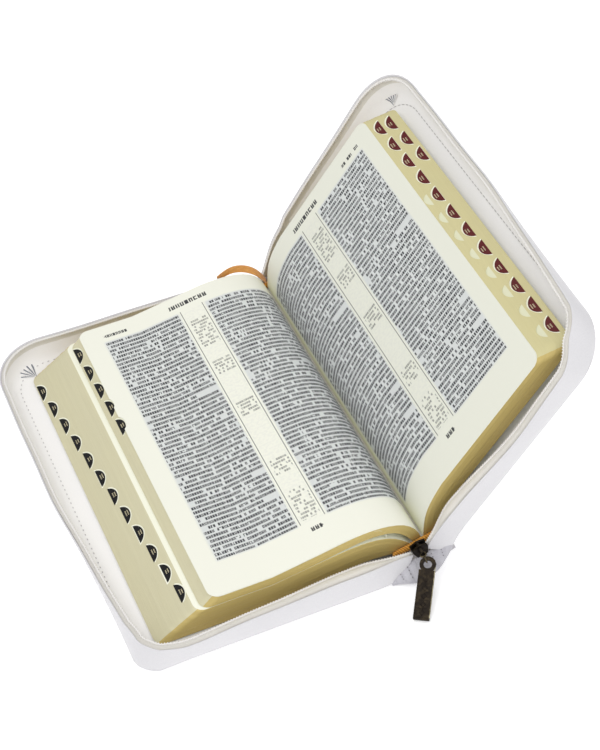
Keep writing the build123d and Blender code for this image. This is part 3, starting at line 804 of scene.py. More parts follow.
UP, OUT = Vector((0, 0, 1)), Vector((-1, 0, 0))
BACK_UP = Vector((-math.sin(BACK_TILT), 0, math.cos(BACK_TILT)))
BACK_OUT = Vector((math.cos(BACK_TILT), 0, math.sin(BACK_TILT)))
lower_frames = [notch_frame(at(front_edge(z), y, z), OUT, UP) for y, z in lower_places]
upper_frames = [notch_frame(at(upper_edge(z), y, z), OUT, UP) for y, z in upper_places]
row_frames, end_frames, blank_frames = (
    [notch_frame(on_back(back_edge(n), y, n), BACK_OUT, BACK_UP) for y, n in places]
    for places in (row_places, end_places, blank_places)
)

pile_lower = leaf_pile("leaves_lower", lower_low, lower_high, 26, 11, FORE_GILT)
cut_notches(pile_lower, lower_frames)
pile_upper = leaf_pile("leaves_upper", upper_low, upper_high, 12, 12, FORE_GILT)
cut_notches(pile_upper, upper_frames)
pile_back = leaf_pile("leaves_back", back_low, back_high, 24, 13, BACK_GILT)
cut_notches(pile_back, end_frames, 4.0)
cut_notches(pile_back, row_frames)
pile_back.data.materials.append(SHADED_NOTCH_PAPER)
# the walls of the unlabelled cuts take slot 3, the paper painted with shade
cut_notches(pile_back, blank_frames, 5.0, 5.0, 1.9, 3)
for pile, cad in (
    (pile_lower, ("front_leaves_lower", "front_root_lower", "front_flyleaf")),
    (pile_upper, ("front_leaves_upper", "front_root_upper")),
    (pile_back, ("back_leaves", "back_root", "back_flyleaf")),
):
    dress(pile, "pages", None, *cad)


def page_sheet(name, section, lift, thickness, material, reading_out, hidden=0.0):
    """One thin leaf that follows a section curve, with print on its face."""
    half = half_heights() - 0.05
    across = 24
    run = run_along(section)
    tangent = np.gradient(section, axis=0)
    tangent /= np.linalg.norm(tangent, axis=1)[:, None] + 1e-9
    normal = np.stack([-tangent[:, 1], tangent[:, 0]], axis=1)
    normal *= np.sign(normal[-1, 1] if abs(normal[-1, 1]) > 0.2 else 1.0)
    points, uvs = [], []
    for side in (0.0, thickness):
        for i in range(COLUMN_COUNT):
            for j in range(across + 1):
                y = half[i] * (2 * j / across - 1)
                flutter = 0.16 * math.sin(y / 19.0 + i * 0.2) * min(i / ROOT_STEPS, 1.0)
                spot = section[i] + normal[i] * (lift + side + max(flutter, -0.05))
                points.append(at(spot[0], y, spot[1]))
                q = run[i] if reading_out else PRINT_W - hidden - run[i]
                uvs.append((q / UV_WIDTH, (y + HALF_H) / PAGE_H))
    faces, sides = sheet_faces(COLUMN_COUNT, across + 1)
    kinds = [0] * sides + [1] * (len(faces) - sides)
    return build(name, points, faces, [material, PAGE], kinds, uvs, 50.0)


# the turning leaf dives into the pile short of the gutter, so that it stays inside the closed case
LEAF_ROOT = [(-19.4, 20.5), (-20.3, 26.6), (-24.5, 29.35), (-32.8, 30.35), (-49.2, 28.1)]
LEAF_HIDDEN = 19.6
left_section = columns(
    LEAF_ROOT + [(SLAB_X, UPPER_Z[1])], (SLAB_X, UPPER_Z[1]), (-112.4, UPPER_Z[1]),
)
under_page = page_sheet("left_page_under", upper_high, 0.04, 0.08, LEFT_PRINT, False)
left_page = page_sheet("left_page", left_section, 0.34, 0.12, LEFT_PRINT, False, LEAF_HIDDEN)
right_page = page_sheet("right_page", back_high, 0.05, 0.10, SHADED_RIGHT_PRINT, True)
for page in (under_page, left_page):
    cut_notches(page, upper_frames[2:])
dress(left_page, "pages", None, "turning_leaf")
for page in (under_page, right_page):
    dress(page, "pages", None)

for piece in (pile_lower, pile_upper, under_page):
    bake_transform(piece)
for piece in (pile_back, right_page):
    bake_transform(piece)
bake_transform(left_page)


LABEL_STROKES = (-1.5, 1.2)       # each row of gold strokes runs from and to here


def labels(name, frames, material, seed):
    """The half-moon labels in the thumb cuts, with two short rows of small gold strokes."""
    rng = random.Random(seed)
    points, faces, kinds = [], [], []
    radius = NOTCH_R - LABEL_MARGIN
    inner = 0.1 - NOTCH_OUT
    reach = math.acos(-inner / radius)
    for spot in frames:
        base = len(points)
        arc = [math.pi - reach + 2 * reach * k / 24 for k in range(25)]
        for rise in (-0.15, 0.12):
            points += [spot(NOTCH_OUT + radius * math.cos(a), radius * math.sin(a), rise) for a in arc]
        ring = ring_faces(2, 25)
        faces += renumbered(ring, base)
        kinds += [0] * len(ring)
        for line in (0, 1):
            start = LABEL_STROKES[0] + rng.uniform(-0.2, 0.2)
            while start < LABEL_STROKES[1]:
                wide = rng.uniform(0.25, 0.5)
                d = -1.3 - line * 1.25
                base = len(points)
                for rise in (0.10, 0.16):
                    points += [
                        spot(d, start, rise), spot(d - 0.55, start, rise),
                        spot(d - 0.55, start + wide, rise), spot(d, start + wide, rise),
                    ]
                ring = ring_faces(2, 4)
                faces += renumbered(ring, base)
                kinds += [1] * len(ring)
                start += wide + 0.3
    return build(name, points, faces, [material, GOLD], kinds)


for name, frames, material, slot, body, cad in (
    ("labels_lower", lower_frames, BLACK_LABEL, "index_black", "front_leaves", "front_index_tabs_lower"),
    ("labels_upper", upper_frames, BLACK_LABEL, "index_black", "front_leaves", "front_index_tabs_upper"),
    ("labels_row", row_frames, RED_LABEL, "index_red", "back_leaves", "back_index_tabs_row"),
    ("labels_end", end_frames, RED_LABEL, "index_red", "back_leaves", "back_index_tabs_end"),
):
    dress(labels(name, frames, material, len(name)), slot, body, cad)

# ---- the case: each cover is a shallow leather tray whose wall carries half the zip
def row(*values):
    return np.array(values, float)


COVERS = {
    "front": {
        "place": lambda s, y, n: row(FRONT_FOLD_X - s, y, n),
        "along": row(-1, 0, 0),
        "up": row(0, 0, 1),
        "reach": 136.5,
        "start": 24.0,
        # from the slider outwards: foot of the wall, then its top
        "foot": [(-16.8, 114.2, 2.6), (-18.6, 114.5, 1.6), (-21.0, 114.8, 0.8), (-24.5, 115.0, 0.2),
                 (-29.0, 115.0, 0.0), (-35.6, 115.0, 0.0), (-42.5, 115.0, 0.0)],
        "top": [(-8.4, 110.5, 10.8), (-12.5, 111.5, 12.4), (-17.0, 112.5, 13.8), (-22.5, 113.6, 14.9),
                (-28.5, 114.5, 15.5), (-35.6, 115.1, 15.8), (-42.5, 115.2, 15.8)],
        # from the tail end of the fold round to its head end
        "flare": (0.2, 0.8, 3.2, -5.4, -0.5, 6.9, 6.6, 6.4, 5.6, 4.0, 1.4),
        "height": (15.8, 14.4, 12.8, 12.7, 12.7, 12.7, 12.7, 12.7, 12.7, 13.2, 15.8),
        "corner_push": 5.4,
    },
    "back": {
        "place": lambda s, y, n: row(back_xz(s, n)[0], y, back_xz(s, n)[1]),
        "along": row(math.cos(BACK_TILT), 0, math.sin(BACK_TILT)),
        "up": row(-math.sin(BACK_TILT), 0, math.cos(BACK_TILT)),
        "reach": 133.0,
        "start": 24.2,
        "foot": [(10.6, 114.2, 10.6), (12.2, 114.5, 13.5), (13.6, 114.7, 17.0), (15.6, 114.9, 21.0),
                 (18.6, 115.0, 25.4), (22.0, 115.0, 29.7), (25.6, 115.0, 34.2)],
        "top": [(-0.5, 110.5, 12.9), (1.1, 110.8, 16.2), (3.0, 111.4, 20.4), (5.2, 112.3, 25.3),
                (7.8, 113.4, 30.8), (11.2, 114.4, 36.8), (15.2, 115.0, 42.6)],
        "flare": (0.0, 3.0, 0.4, -6.3, 1.2, 7.6, 7.6, 9.4, 9.0, 7.0, 3.0),
        "height": (13.4, 13.4, 13.2, 12.9, 12.7, 12.7, 12.7, 12.7, 12.7, 12.7, 13.4),
        "corner_push": 0.0,
    },
}
LEATHER_FLOOR = 1.45      # leather and board, up to the lining
LEATHER_FOLD = 0.6        # leather alone, beside the fold
LINING_FIRST = 7          # the lining starts at this station of the wall
WALL_T = 0.95
WALL_BULGE = 0.7
HEAD_SPREAD = 0.8         # the wall's top stands this much further out at the head's end
TAPE_OUT = 2.0            # from the wall to the tape's edge, before it leans
TAPE_DROP = 0.16          # how far the edge falls for each millimetre of lean
SPINE_STEPS, SIDE_STEPS, ARC_STEPS, FORE_STEPS = 14, 14, 12, 22


def smooth(values, times):
    """The same values with their corners rounded off."""
    for _ in range(times):
        values = np.r_[values[0], (values[:-2] + 2 * values[1:-1] + values[2:]) / 4, values[-1]]
    return values


def trace_wall(cover):
    """Stations along the wall's foot, from the slider round the cover to the head of the spine."""
    place, reach = cover["place"], cover["reach"]
    foot = spline(cover["foot"], SPINE_STEPS)
    top = spline(cover["top"], SPINE_STEPS)
    side_s = np.linspace(cover["start"], reach - COVER_R, SIDE_STEPS + 1)[1:]
    turns = np.linspace(0, math.pi / 2, ARC_STEPS + 1)[1:]
    fore_y = np.linspace(-(CASE_HALF_H - COVER_R), CASE_HALF_H - COVER_R, FORE_STEPS + 1)[1:-1]

    def around(push):
        """The tail side and its corner, the corner pushed out a little."""
        side = [(s, -CASE_HALF_H, 0.0, -1.0) for s in side_s]
        for a in turns:
            radius = COVER_R + push * math.sin(2 * a) ** 1.5 if a < turns[-1] else COVER_R
            s = min(reach - 0.02 * (math.pi / 2 - a), reach - COVER_R + radius * math.sin(a))
            lowest = -CASE_HALF_H - 0.5 * math.sin(2 * a)
            y = max(lowest, -(CASE_HALF_H - COVER_R) - radius * math.cos(a))
            side.append((s, y, math.sin(a), -math.cos(a)))
        return side

    tail = around(cover["corner_push"])
    fore = [(reach, y, 1.0, 0.0) for y in fore_y]
    head = [(s, -y, o, -w) for s, y, o, w in reversed(around(0.0))]
    feet, outs, tops = [], [], []
    for f, t in zip(foot, top):
        feet.append(row(f[0], -f[1], f[2]))
        tops.append(row(t[0], -t[1], t[2]))
        outs.append(row(0, -1, 0))
    inner = [row(f[0], -f[1], f[2]) for f in foot]
    inner += [place(s, y, 0.0) for s, y, _, _ in around(0.0) + fore + head]
    inner += [row(f[0], f[1], f[2]) for f in foot[::-1]]
    for s, y, o, w in tail + fore + head:
        feet.append(place(s, y, 0.0))
        outs.append(cover["along"] * o + row(0, w, 0))
        tops.append(None)
    for f, t in zip(foot[::-1], top[::-1]):
        feet.append(row(f[0], f[1], f[2]))
        tops.append(row(t[0], t[1] + HEAD_SPREAD, t[2]))
        outs.append(row(0, 1, 0))
    feet, outs = np.array(feet), np.array(outs)
    run = run_along(feet)
    n = len(feet)
    arc_start = SPINE_STEPS + SIDE_STEPS - 1
    marks = [SPINE_STEPS - 1, SPINE_STEPS + SIDE_STEPS // 2, arc_start, arc_start + ARC_STEPS // 2,
             arc_start + ARC_STEPS, n // 2]
    marks += [n - 1 - m for m in marks[-2::-1]]
    flare = smooth(np.interp(run, run[marks], cover["flare"]), 3)
    ripple = 0.16 * np.sin(run / 9.6 + 1.0)
    height = smooth(np.interp(run, run[marks], cover["height"]), 3) + 0.12 * np.sin(run / 13.0)
    for k in range(n):
        if tops[k] is None:
            tops[k] = feet[k] + outs[k] * (flare[k] + ripple[k]) + cover["up"] * height[k]
    near = np.minimum(np.arange(n), np.arange(n)[::-1])
    fold_marks = (0, SPINE_STEPS - 6, SPINE_STEPS - 3)
    thick = np.interp(near, fold_marks, (LEATHER_FOLD, LEATHER_FOLD, LEATHER_FLOOR))
    # how far the tape leans in over the leaves: much at the tail, little along the fore-edge and the head
    step = np.arange(n)
    corner = arc_start + ARC_STEPS
    flop_marks = (0, 4, 10, 14, 19, arc_start, corner + 4, n - 16, n - 1)
    flop = np.interp(step, flop_marks, (0, 0.3, 5.0, 4.6, 3.0, 2.4, 1.0, 0.6, 0))
    return {
        "foot": feet, "top": np.array(tops), "out": outs, "run": run, "thick": thick,
        "up": cover["up"], "inner": np.array(inner), "flop": smooth(flop, 4),
    }


def wall_point(w, k, q, inward, lift=0.0):
    """A point of the wall at station k: q is 0 at its foot and 1 at its top."""
    bulge = WALL_BULGE * math.sin(math.pi * min(max(q, 0.0), 1.0))
    spot = w["foot"][k] * (1 - q) + w["top"][k] * q
    return spot + w["out"][k] * (bulge - inward) + w["up"] * lift


def tray_faces(count, size):
    """Faces of a tray: sections along its wall, with its floor and underside spanned from wall to wall."""
    faces = []
    for k in range(count - 1):
        for i in range(size - 1):
            a = k * size + i
            faces.append((a, a + 1, a + 1 + size, a + size))
    for k in range(count // 2 - 1 + count % 2):
        other = count - 1 - k
        for i in (0, size - 1):
            quad = [k * size + i, (k + 1) * size + i, (other - 1) * size + i, other * size + i]
            if quad[1] == quad[2]:
                quad.pop(2)
            faces.append(tuple(quad))
    last = (count - 1) * size
    faces.append((0, size - 1, last + size - 1, last))
    for base in (0, last):
        faces.append(tuple(base + i for i in range(size)))
    return faces


def tray_leather(name, w):
    """The cover's leather with its board: flat floor, wall with a turned top, and the wall's inside."""
    n = len(w["foot"])
    points = []
    for k in range(n):
        foot, top, inner = w["foot"][k], w["top"][k], w["inner"][k]
        out, up, thick = w["out"][k], w["up"], w["thick"][k]
        points += [inner - out * 6.0, foot - out * 1.6]
        points += [foot - out * 0.5 + up * 0.18, foot + up * 0.9 + out * 0.1]
        points += [wall_point(w, k, q, 0) for q in (0.2, 0.4, 0.6, 0.8, 0.95)]
        points += [top + up * rise - out * back for rise, back in ((0.35, 0.15), (0.45, 0.55), (0.1, WALL_T))]
        points += [wall_point(w, k, q, WALL_T) for q in (0.8, 0.5, 0.2)]
        points += [foot - out * 2.0 + up * thick, inner - out * 6.0 + up * thick]
    faces = tray_faces(n, len(points) // n)
    return build(name, [at(*p) for p in points], faces, [WHITE_LEATHER], None, None, 50.0)


def tray_lining(name, w):
    """The lining of a cover: a margin on the floor, a fillet, and a strip up the inside of the wall."""
    picked = range(LINING_FIRST, len(w["foot"]) - LINING_FIRST)
    points = []
    for k in picked:
        foot, out, up = w["foot"][k], w["out"][k], w["up"]
        floor_n = w["thick"][k] + 0.35
        points += [
            w["inner"][k] - out * 9.0 + up * floor_n, w["inner"][k] - out * 6.0 + up * floor_n,
            foot - out * 4.0 + up * (floor_n + 0.15), foot - out * 2.4 + up * (floor_n + 0.55),
            wall_point(w, k, 0.24, 2.4), wall_point(w, k, 0.38, 1.9), wall_point(w, k, 0.56, 1.55),
            wall_point(w, k, 0.72, 1.4), wall_point(w, k, 0.745, 1.2), wall_point(w, k, 0.72, 0.98),
            wall_point(w, k, 0.5, 1.0), wall_point(w, k, 0.25, 1.1),
            foot - out * 3.4 + up * (floor_n - 0.3), w["inner"][k] - out * 9.0 + up * (floor_n - 0.3),
        ]
    faces = tray_faces(len(picked), len(points) // len(picked))
    return build(name, [at(*p) for p in points], faces, [LINING], None, None, 45.0)


def zip_tape(name, w):
    """The woven tape: sewn up the inside of the wall and leaning in over its top."""
    n = len(w["foot"])
    points, uvs = [], []
    levels = ((0.45, 1.25), (0.6, 1.3), (0.8, 1.35), (0.96, 1.4))
    over = ((0.0, 0.0), (0.35, 0.10), (0.7, 0.0), (1.0, -TAPE_DROP))
    for k in range(n):
        flop = w["flop"][k]
        ring = [wall_point(w, k, q, inward + 0.22 * flop * q * q) for q, inward in levels]
        ring += [wall_point(w, k, 1.0, TAPE_OUT + flop * t, 0.15 + flop * drop) for t, drop in over]
        ring += [
            wall_point(w, k, 1.0, TAPE_OUT - 0.1 + flop * t, 0.5 + flop * drop) for t, drop in reversed(over)
        ]
        ring += [wall_point(w, k, q, 1.0 + 0.1 * flop * q * q) for q, _ in reversed(levels)]
        points += ring
        uvs += [(w["run"][k], 2.5 * i) for i in range(len(ring))]
    size = len(points) // n
    return build(name, [at(*p) for p in points], ring_faces(n, size), [TAPE], None, uvs, 50.0)


def sweep(name, line, across, up, radii, sides, material, taper=0):
    """A tube along points with its own cross-section directions at each of them."""
    points, uvs = [], []
    run = run_along(line)
    n = len(line)
    for k in range(n):
        end = 1.0
        if taper:
            end = min(1.0, math.sqrt(max(0.05, min(k, n - 1 - k) / taper)))
        for i in range(sides):
            a = 2 * math.pi * i / sides
            spot = line[k] + across[k] * radii[0] * end * math.cos(a)
            points.append(spot + up[k] * radii[1] * end * math.sin(a))
            uvs.append((run[k], a * radii[0]))
    return build(name, [at(*p) for p in points], ring_faces(n, sides), [material], None, uvs, 60.0)


COIL_PITCH = 1.5
COIL_RADIUS = (0.72, 0.58)
COIL_STEPS = 8


def zip_coil(name, w):
    """The nylon coil: a wire wound along the tape's edge, over a cord."""
    flops = enumerate(w["flop"])
    line = np.array([
        wall_point(w, k, 1.0, TAPE_OUT + 0.15 + flop, 0.35 - TAPE_DROP * flop) for k, flop in flops
    ])
    run = run_along(line)
    turns = int(run[-1] / COIL_PITCH)
    even = np.linspace(0, run[-1], turns * COIL_STEPS + 1)
    centre, out = resampled(line, even, run), resampled(w["out"], even, run)
    out /= np.linalg.norm(out, axis=1)[:, None]
    up = np.repeat(w["up"][None, :], len(even), axis=0)
    angle = 2 * math.pi * np.arange(len(even)) / COIL_STEPS
    wire = centre + out * (COIL_RADIUS[0] * np.cos(angle))[:, None]
    wire = wire + up * (COIL_RADIUS[1] * np.sin(angle))[:, None]
    along_way = np.gradient(wire, axis=0)
    along_way /= np.linalg.norm(along_way, axis=1)[:, None]
    side = np.cross(along_way, up)
    side /= np.linalg.norm(side, axis=1)[:, None]
    rise = np.cross(side, along_way)
    wound = sweep(name, wire, side, rise, (0.27, 0.27), 5, COIL)
    core = sweep(name + "_cord", centre[::4], out[::4], up[::4], (0.52, 0.42), 8, COIL)
    return joined(name, [core, wound])


def stitches(name, w, inset, first, pitch, length):
    """Running stitches along the margin of a cover."""
    n = len(w["foot"])
    level = LEATHER_FLOOR + 0.36 + 0.26 * max(0.0, min(1.0, (6.0 - inset) / 1.8))
    line = np.array([w["foot"][k] - w["out"][k] * inset + w["up"] * level for k in range(first, n - first)])
    out = w["out"][first : n - first]
    run = run_along(line)
    pieces = []
    for k in range(int(run[-1] / pitch)):
        even = np.linspace(k * pitch + 0.6, k * pitch + 0.6 + length, 7)
        spots, outs = resampled(line, even, run), resampled(out, even, run)
        spots += w["up"] * (0.16 * np.sin(np.linspace(0, math.pi, 7)) - 0.08)[:, None]
        ups = np.repeat(w["up"][None, :], 7, axis=0)
        pieces.append(sweep(name, spots, outs, ups, (0.26, 0.2), 6, THREAD, 2))
    return joined(name, pieces)


PLEAT_INSET = -1.0        # the folds end here at the foot of the wall, inside its leather
PLEAT_RISE = ((-1.5, 0.3, 2.4, 4.0, 6.0), (3.3, 1.75, 0.95, 0.55, 0.4))   # insets, height of the lining


def pleats(name, cover, s0, y0, middle, spread, count, body):
    """The small fan of folds where the leather is gathered round a corner of the cover."""
    place, up = cover["place"], cover["up"]
    corner = (cover["reach"] - COVER_R, CASE_HALF_H - COVER_R)
    rng = random.Random(3)
    points, faces, kinds = [], [], []
    for k in range(count):
        angle = math.radians(middle + spread * (k / (count - 1) - 0.5))
        reach = rng.uniform(8.0, 10.4)
        direction = (math.cos(angle), math.sin(angle))
        side = (-direction[1], direction[0])
        for kind, offset, wide, high in ((0, -0.30, 0.34, 0.5), (1, 0.28, 0.42, 0.16)):
            base = len(points)
            for d, swell in ((0.0, 0.35), (0.35, 0.8), (0.8, 1.1), (1.0, 0.5)):
                for across, rise in ((-1, 0.0), (-0.4, 0.8), (0.4, 0.8), (1, 0.0)):
                    a = (offset + across * wide * swell) * (0.5 + d)
                    s = s0 + direction[0] * reach * d + side[0] * a
                    y = y0 + direction[1] * reach * d + side[1] * a
                    from_corner = math.hypot(max(s - corner[0], 0.0), max(abs(y) - corner[1], 0.0))
                    inset = COVER_R - from_corner
                    if inset < PLEAT_INSET:
                        back = (PLEAT_INSET - inset) / from_corner
                        s -= back * (s - corner[0])
                        y -= back * (y - math.copysign(corner[1], y))
                        inset = PLEAT_INSET
                    level = LEATHER_FLOOR + np.interp(inset, *PLEAT_RISE)
                    points.append(at(*(place(s, y, level) + up * (rise * high * swell))))
            for r in range(3):
                for i in range(4):
                    a, b = base + r * 4 + i, base + r * 4 + (i + 1) % 4
                    faces.append((a, b, b + 4, a + 4))
                    kinds.append(kind)
            faces += [tuple(base + i for i in range(4)), tuple(base + 12 + i for i in range(4))]
            kinds += [kind, kind]
    return dress(build(name, points, faces, [LINING, PLEAT_SHADE], kinds), "lining", body)


for side, cover in COVERS.items():
    wall = trace_wall(cover)
    body = side + "_case"
    for make, name, slot, cad in (
        (tray_leather, "_case_leather", "case_leather", (side + "_cover_leather", "fold_leather_" + side)),
        (tray_lining, "_case_lining", "lining", (side + "_lining", side + "_turn_in")),
        (zip_tape, "_tape", "zip_tape", (side + "_zip_tape",)),
        (zip_coil, "_coil", "zip_coil", (side + "_zip_coil", side + "_zip_stops")),
    ):
        piece = dress(make(side + name, wall), slot, None, *cad)
        if side == "front":
            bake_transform(piece)
        else:
            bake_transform(piece)
    inset, pitch, length = (4.0, 3.4, 1.3) if side == "front" else (4.8, 3.2, 2.7)
    seam = stitches(side + "_seam", wall, inset, SPINE_STEPS + 1, pitch, length)
    dress(seam, "thread", body, side + "_stitching")
pleats("front_head_pleats", COVERS["front"], 120.6, 102.4, 52.0, 74.0, 5, "front_case")
pleats("back_head_pleats", COVERS["back"], 119.8, 107.6, 50.0, 66.0, 5, "back_case")
pleats("front_tail_pleats", COVERS["front"], 124.0, -103.4, -45.0, 34.0, 3, "front_case")

# ---- spine: leather, headbands, webbing behind the slider
SKIN_U = (-1.5, 29.5)     # edges of the spine's leather, across the spine
SKIN_DEPTH = 3.95         # from the block's spine down to the leather
SKIN_CROWN = 0.55


def spine_skin():
    """The outside leather of the spine, slightly rounded, with turned ends."""
    points = []
    middle, half = (SKIN_U[0] + SKIN_U[1]) / 2, (SKIN_U[1] - SKIN_U[0]) / 2
    across = np.linspace(*SKIN_U, 15)
    grid = [(-114.8, 0.45), *[(y, 0.0) for y in np.linspace(-114.0, 114.0, 15)], (114.8, 0.45)]
    for thickness in (0.0, 0.7):
        for y, tuck in grid:
            for u in across:
                crown = SKIN_CROWN * (1 - ((u - middle) / half) ** 2)
                points.append(on_spine(u, y, -SKIN_DEPTH - crown - thickness * (1 - tuck)))
    faces, _ = sheet_faces(len(grid), len(across))
    return build("spine_case_leather", points, faces, [WHITE_LEATHER], None, None, 50.0)


dress(spine_skin(), "case_leather", "spine", "spine_leather")

HEADBAND_PITCH = 1.25


def woven_band(name, sign, cad):
    """A headband: ribbed silk over a cord, along one end of the block's spine."""
    points, uvs = [], []
    spots = np.arange(0.0, SPINE_W, 0.22)
    sides = 14
    for u in spots:
        end = min(1.0, math.sqrt(max(0.06, min(u, SPINE_W - u) / 0.9)))
        sag = 0.25 * math.sin(u / 4.1)
        for i in range(sides):
            a = 2 * math.pi * i / sides
            rib = 1.0 + 0.09 * math.sin(2 * math.pi * (u + 0.55 * a * 1.2) / HEADBAND_PITCH)
            y = sign * (HALF_H + 1.7 + 1.4 * end * rib * math.cos(a))
            w = 0.7 + sag * 0.4 + 2.1 * end * rib * math.sin(a)
            points.append(on_spine(u, y, w))
            uvs.append((u, a * 1.2))
    obj = build(name, points, ring_faces(len(spots), sides), [HEADBAND], None, uvs, 80.0)
    dress(obj, "headband", "spine", cad)


woven_band("tail_band", -1, "tail_headband")
woven_band("head_band", 1, "head_headband")


APRON_OUTER = [(-22, 115.3, 0.5), (-17, 118.0, 2.4), (-11, 120.3, 2.6), (-4, 120.6, 4.2),
               (1.5, 119.6, 6.2), (6, 117.4, 8.6), (11.5, 114.6, 12.6)]
APRON_INNER = [(-23, 113.0, 2.6), (-18, 112.4, 6.0), (-11.5, 110.8, 8.2), (-5, 110.3, 9.0),
               (0.6, 110.3, 10.8), (5.6, 111.0, 13.6), (11.6, 112.8, 18.5)]


def webbing(name, sign, cad):
    """The zip's tape ends, bunched under the slider and sewn down to the foot of the spine."""
    points, uvs = [], []
    count = 49
    outer, inner = spline(APRON_OUTER, count), spline(APRON_INNER, count)
    sunk = row(0.27, 0, -0.96)
    for k in range(count):
        pucker = 0.35 * math.sin(k * 1.1) + 0.22 * math.sin(k * 2.3 + 1)
        o, i = outer[k], inner[k]
        top = [i + (o - i) * t + row(0, 0, 1) * rise for t, rise in (
            (0.0, 0.0), (0.25, 0.5 + 0.5 * pucker), (0.5, 0.7 + 0.9 * pucker),
            (0.75, 0.5 + 0.8 * pucker), (0.95, 0.2 + 0.3 * pucker))]
        edge = [o + sunk * 0.35, o + sunk * 1.1 + row(0, -0.5, 0)]
        back = [i + (o - i) * t + sunk * 0.9 + row(0, 0, 1) * rise for t, rise in (
            (0.7, 0.5 + 0.7 * pucker), (0.35, 0.4 + 0.5 * pucker), (0.0, 0.0))]
        ring = top + edge + back
        for j, (x, y, z) in enumerate(ring):
            points.append(at(x, sign * y, z))
            uvs.append((k * 0.9, 2.0 * j))
    cloth = build(name, points, ring_faces(count, 10), [WEBBING, DARK_THREAD], None, uvs, 60.0)
    pieces = [cloth]
    for share in (0.18, 0.30, 0.66, 0.80):
        k = int(share * (count - 1))
        for t in (0.2, 0.38, 0.56, 0.74):
            spots = np.array([
                inner[k] + (outer[k] - inner[k]) * (t + d) + row(0, 0, 1.15 + 0.2 * math.sin(d * 20))
                for d in (0, 0.03, 0.06, 0.09)
            ])
            spots[:, 1] *= sign
            across = np.repeat(row(1, 0, 0)[None, :], 4, axis=0)
            rise = np.repeat(row(0, 0, 1)[None, :], 4, axis=0)
            pieces.append(sweep(name + "_stitch", spots, across, rise, (0.2, 0.16), 6, DARK_THREAD, 1))
    dress(joined(name, pieces), "zip_tape", "spine", cad)


webbing("webbing_tail", -1, "zip_tape_end_tail")
webbing("webbing_head", 1, "zip_tape_end_head")

# ---- ribbon marker
RIBBON_ROUTE = [
    (0.9, 104.4, 15.8), (-1.6, 105.3, 20.6), (-7.0, 106.1, 26.3),
    (-14.0, 106.5, 30.0), (-21.5, 105.8, 31.0), (-28.0, 103.9, 29.6),
]
RIBBON_W = 4.0
RIBBON_T = 0.3
RIBBON_TWIST = math.radians(62)     # each way from the middle of the loop
RIBBON_FACE = (-0.2, -0.66, 0.72)   # the way the middle of the loop faces
RIBBON_SECTION = (
    (-1, -1), (-0.5, -1.2), (0, -1.1), (0.5, -1.2), (1, -1),
    (1, 1), (0.5, 0.8), (0, 0.9), (-0.5, 0.8), (-1, 1),
)
curve_data = bpy.data.curves.new("ribbon_line", "CURVE")
curve_data.dimensions = "3D"
curve_data.resolution_u = 10
route = curve_data.splines.new("NURBS")
route.points.add(len(RIBBON_ROUTE) - 1)
for spot, (x, y, z) in zip(route.points, RIBBON_ROUTE):
    spot.co = (*at(x, y, z), 1.0)
route.order_u = 3
route.use_endpoint_u = True
line_object = bpy.data.objects.new("ribbon_line", curve_data)
bpy.context.scene.collection.objects.link(line_object)
line_mesh = bpy.data.meshes.new_from_object(line_object)
ribbon_path = [v.co.copy() for v in line_mesh.vertices]
bpy.data.objects.remove(line_object)


def flat_ribbon(path):
    """A flat satin strip along the path, twisting over the top of its loop."""
    points, uvs = [], []
    run = 0.0
    for k, spot in enumerate(path):
        before, after = path[max(k - 1, 0)], path[min(k + 1, len(path) - 1)]
        way = (after - before).normalized()
        run += (spot - before).length / MM if k else 0.0
        share = k / (len(path) - 1)
        turn = RIBBON_TWIST * (2 * share - 1)
        face = Vector(RIBBON_FACE)
        face = (face - way * way.dot(face)).normalized()
        side = way.cross(face).normalized()
        wide = side * math.cos(turn) + face * math.sin(turn)
        flat = face * math.cos(turn) - side * math.sin(turn)
        for a, b in RIBBON_SECTION:
            points.append(spot + wide * a * RIBBON_W / 2 * MM + flat * b * RIBBON_T / 2 * MM)
            uvs.append((run, a * RIBBON_W / 2))
    return build("ribbon", points, ring_faces(len(path), 10), [SATIN], None, uvs, 60.0)


ribbon = flat_ribbon(ribbon_path)
ribbon_length = sum((b - a).length for a, b in zip(ribbon_path, ribbon_path[1:]))
dress(ribbon, "ribbon", None, "ribbon_marker")
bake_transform(ribbon)
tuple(ribbon_path[0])

# ---- slider, link and pull, and the CAD pieces that show at an edge
for node, finish in (
    ("slider_body", BRONZE_DARK), ("slider_bridge", BRONZE), ("pull_link", BRONZE_LIGHT),
    ("pull_plate", BRONZE),
    ("spine_stiffener", BOARD), ("front_cover_board", LINING), ("back_cover_board", LINING),
    ("block_spine_lining", MULL),
):
    frame["nodes"][node].data.materials[0] = finish

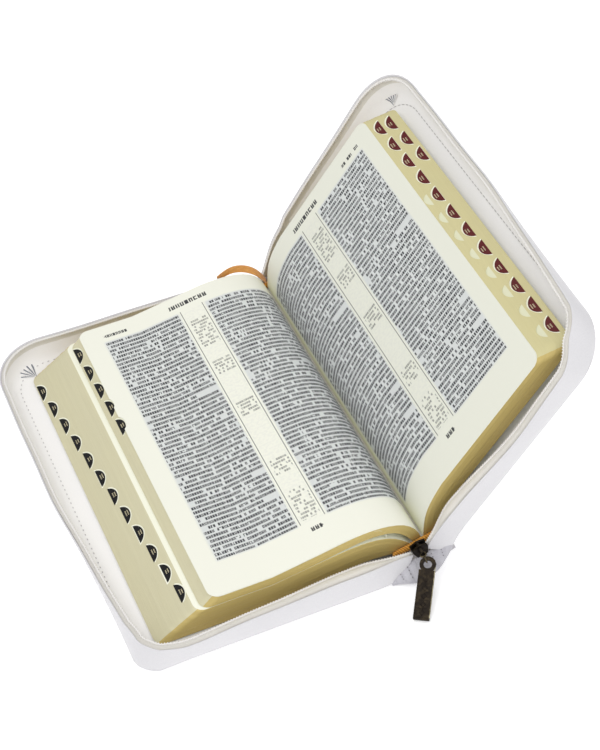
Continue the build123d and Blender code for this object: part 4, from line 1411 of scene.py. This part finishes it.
PULL_EYE = Vector((-4.4575, -119.118, 11.8978))
PULL_DIR = Vector((-0.503, -0.779, -0.372)).normalized()
PULL_ACROSS = PULL_DIR.cross(Vector((0, 0, 1))).normalized()
PULL_UP = PULL_ACROSS.cross(PULL_DIR).normalized()
PULL_FACE = 0.6


def on_pull(along, across, rise):
    return at(*(PULL_EYE + PULL_DIR * along + PULL_ACROSS * across + PULL_UP * (PULL_FACE + rise)))


def raised(outline, height):
    """A raised figure on the pull's face, with sloping sides."""
    n = len(outline)
    cx = sum(a for a, _ in outline) / n
    cy = sum(b for _, b in outline) / n
    points = [on_pull(a, b, -0.05) for a, b in outline]
    points += [on_pull(cx + (a - cx) * 0.8, cy + (b - cy) * 0.8, height) for a, b in outline]
    return points, ring_faces(2, n)


def bar(a_from, a_to, b_from, b_to):
    return [(a_from, b_from), (a_to, b_from), (a_to, b_to), (a_from, b_to)]


FRAME_A = (5.2, 27.6)     # ends of the ornament's frame, along the pull
FRAME_B = 3.2             # its half width, inside
LOZENGES = 5
RAIL_RISE = 0.12


def pull_ornament():
    """A frame with a row of lozenges and bars, and a rail along one edge painted bright as a highlight."""
    points, faces = [], []
    figures, kinds = [], []
    for k in range(LOZENGES):
        a = 8.0 + k * 4.2
        figures.append(([(a - 1.8, 0), (a, -1.5), (a + 1.8, 0), (a, 1.5)], 0.28))
        if k < LOZENGES - 1:
            figures.append((bar(a + 1.9, a + 2.3, -2.3, 2.3), 0.18))
    for side in (-1, 1):
        figures.append((bar(*FRAME_A, side * FRAME_B, side * (FRAME_B + 0.35)), 0.2))
    for a in (FRAME_A[0], FRAME_A[1] - 0.4):
        figures.append((bar(a, a + 0.4, -FRAME_B, FRAME_B), 0.2))
    # the rail along the long edge is painted bright as the bevel's highlight
    figures.append((bar(0.6, 28.2, -3.7, -4.06), RAIL_RISE))
    for outline, height in figures:
        kinds += [1 if height == RAIL_RISE else 0] * 6
        base = len(points)
        spots, sides = raised(outline, height)
        points += spots
        faces += renumbered(sides, base)
    obj = build("pull_ornament", points, faces, [BRONZE_DARK, BRONZE_HIGHLIGHT], kinds)
    dress(obj, "antique_brass", "pull_plate")


pull_ornament()
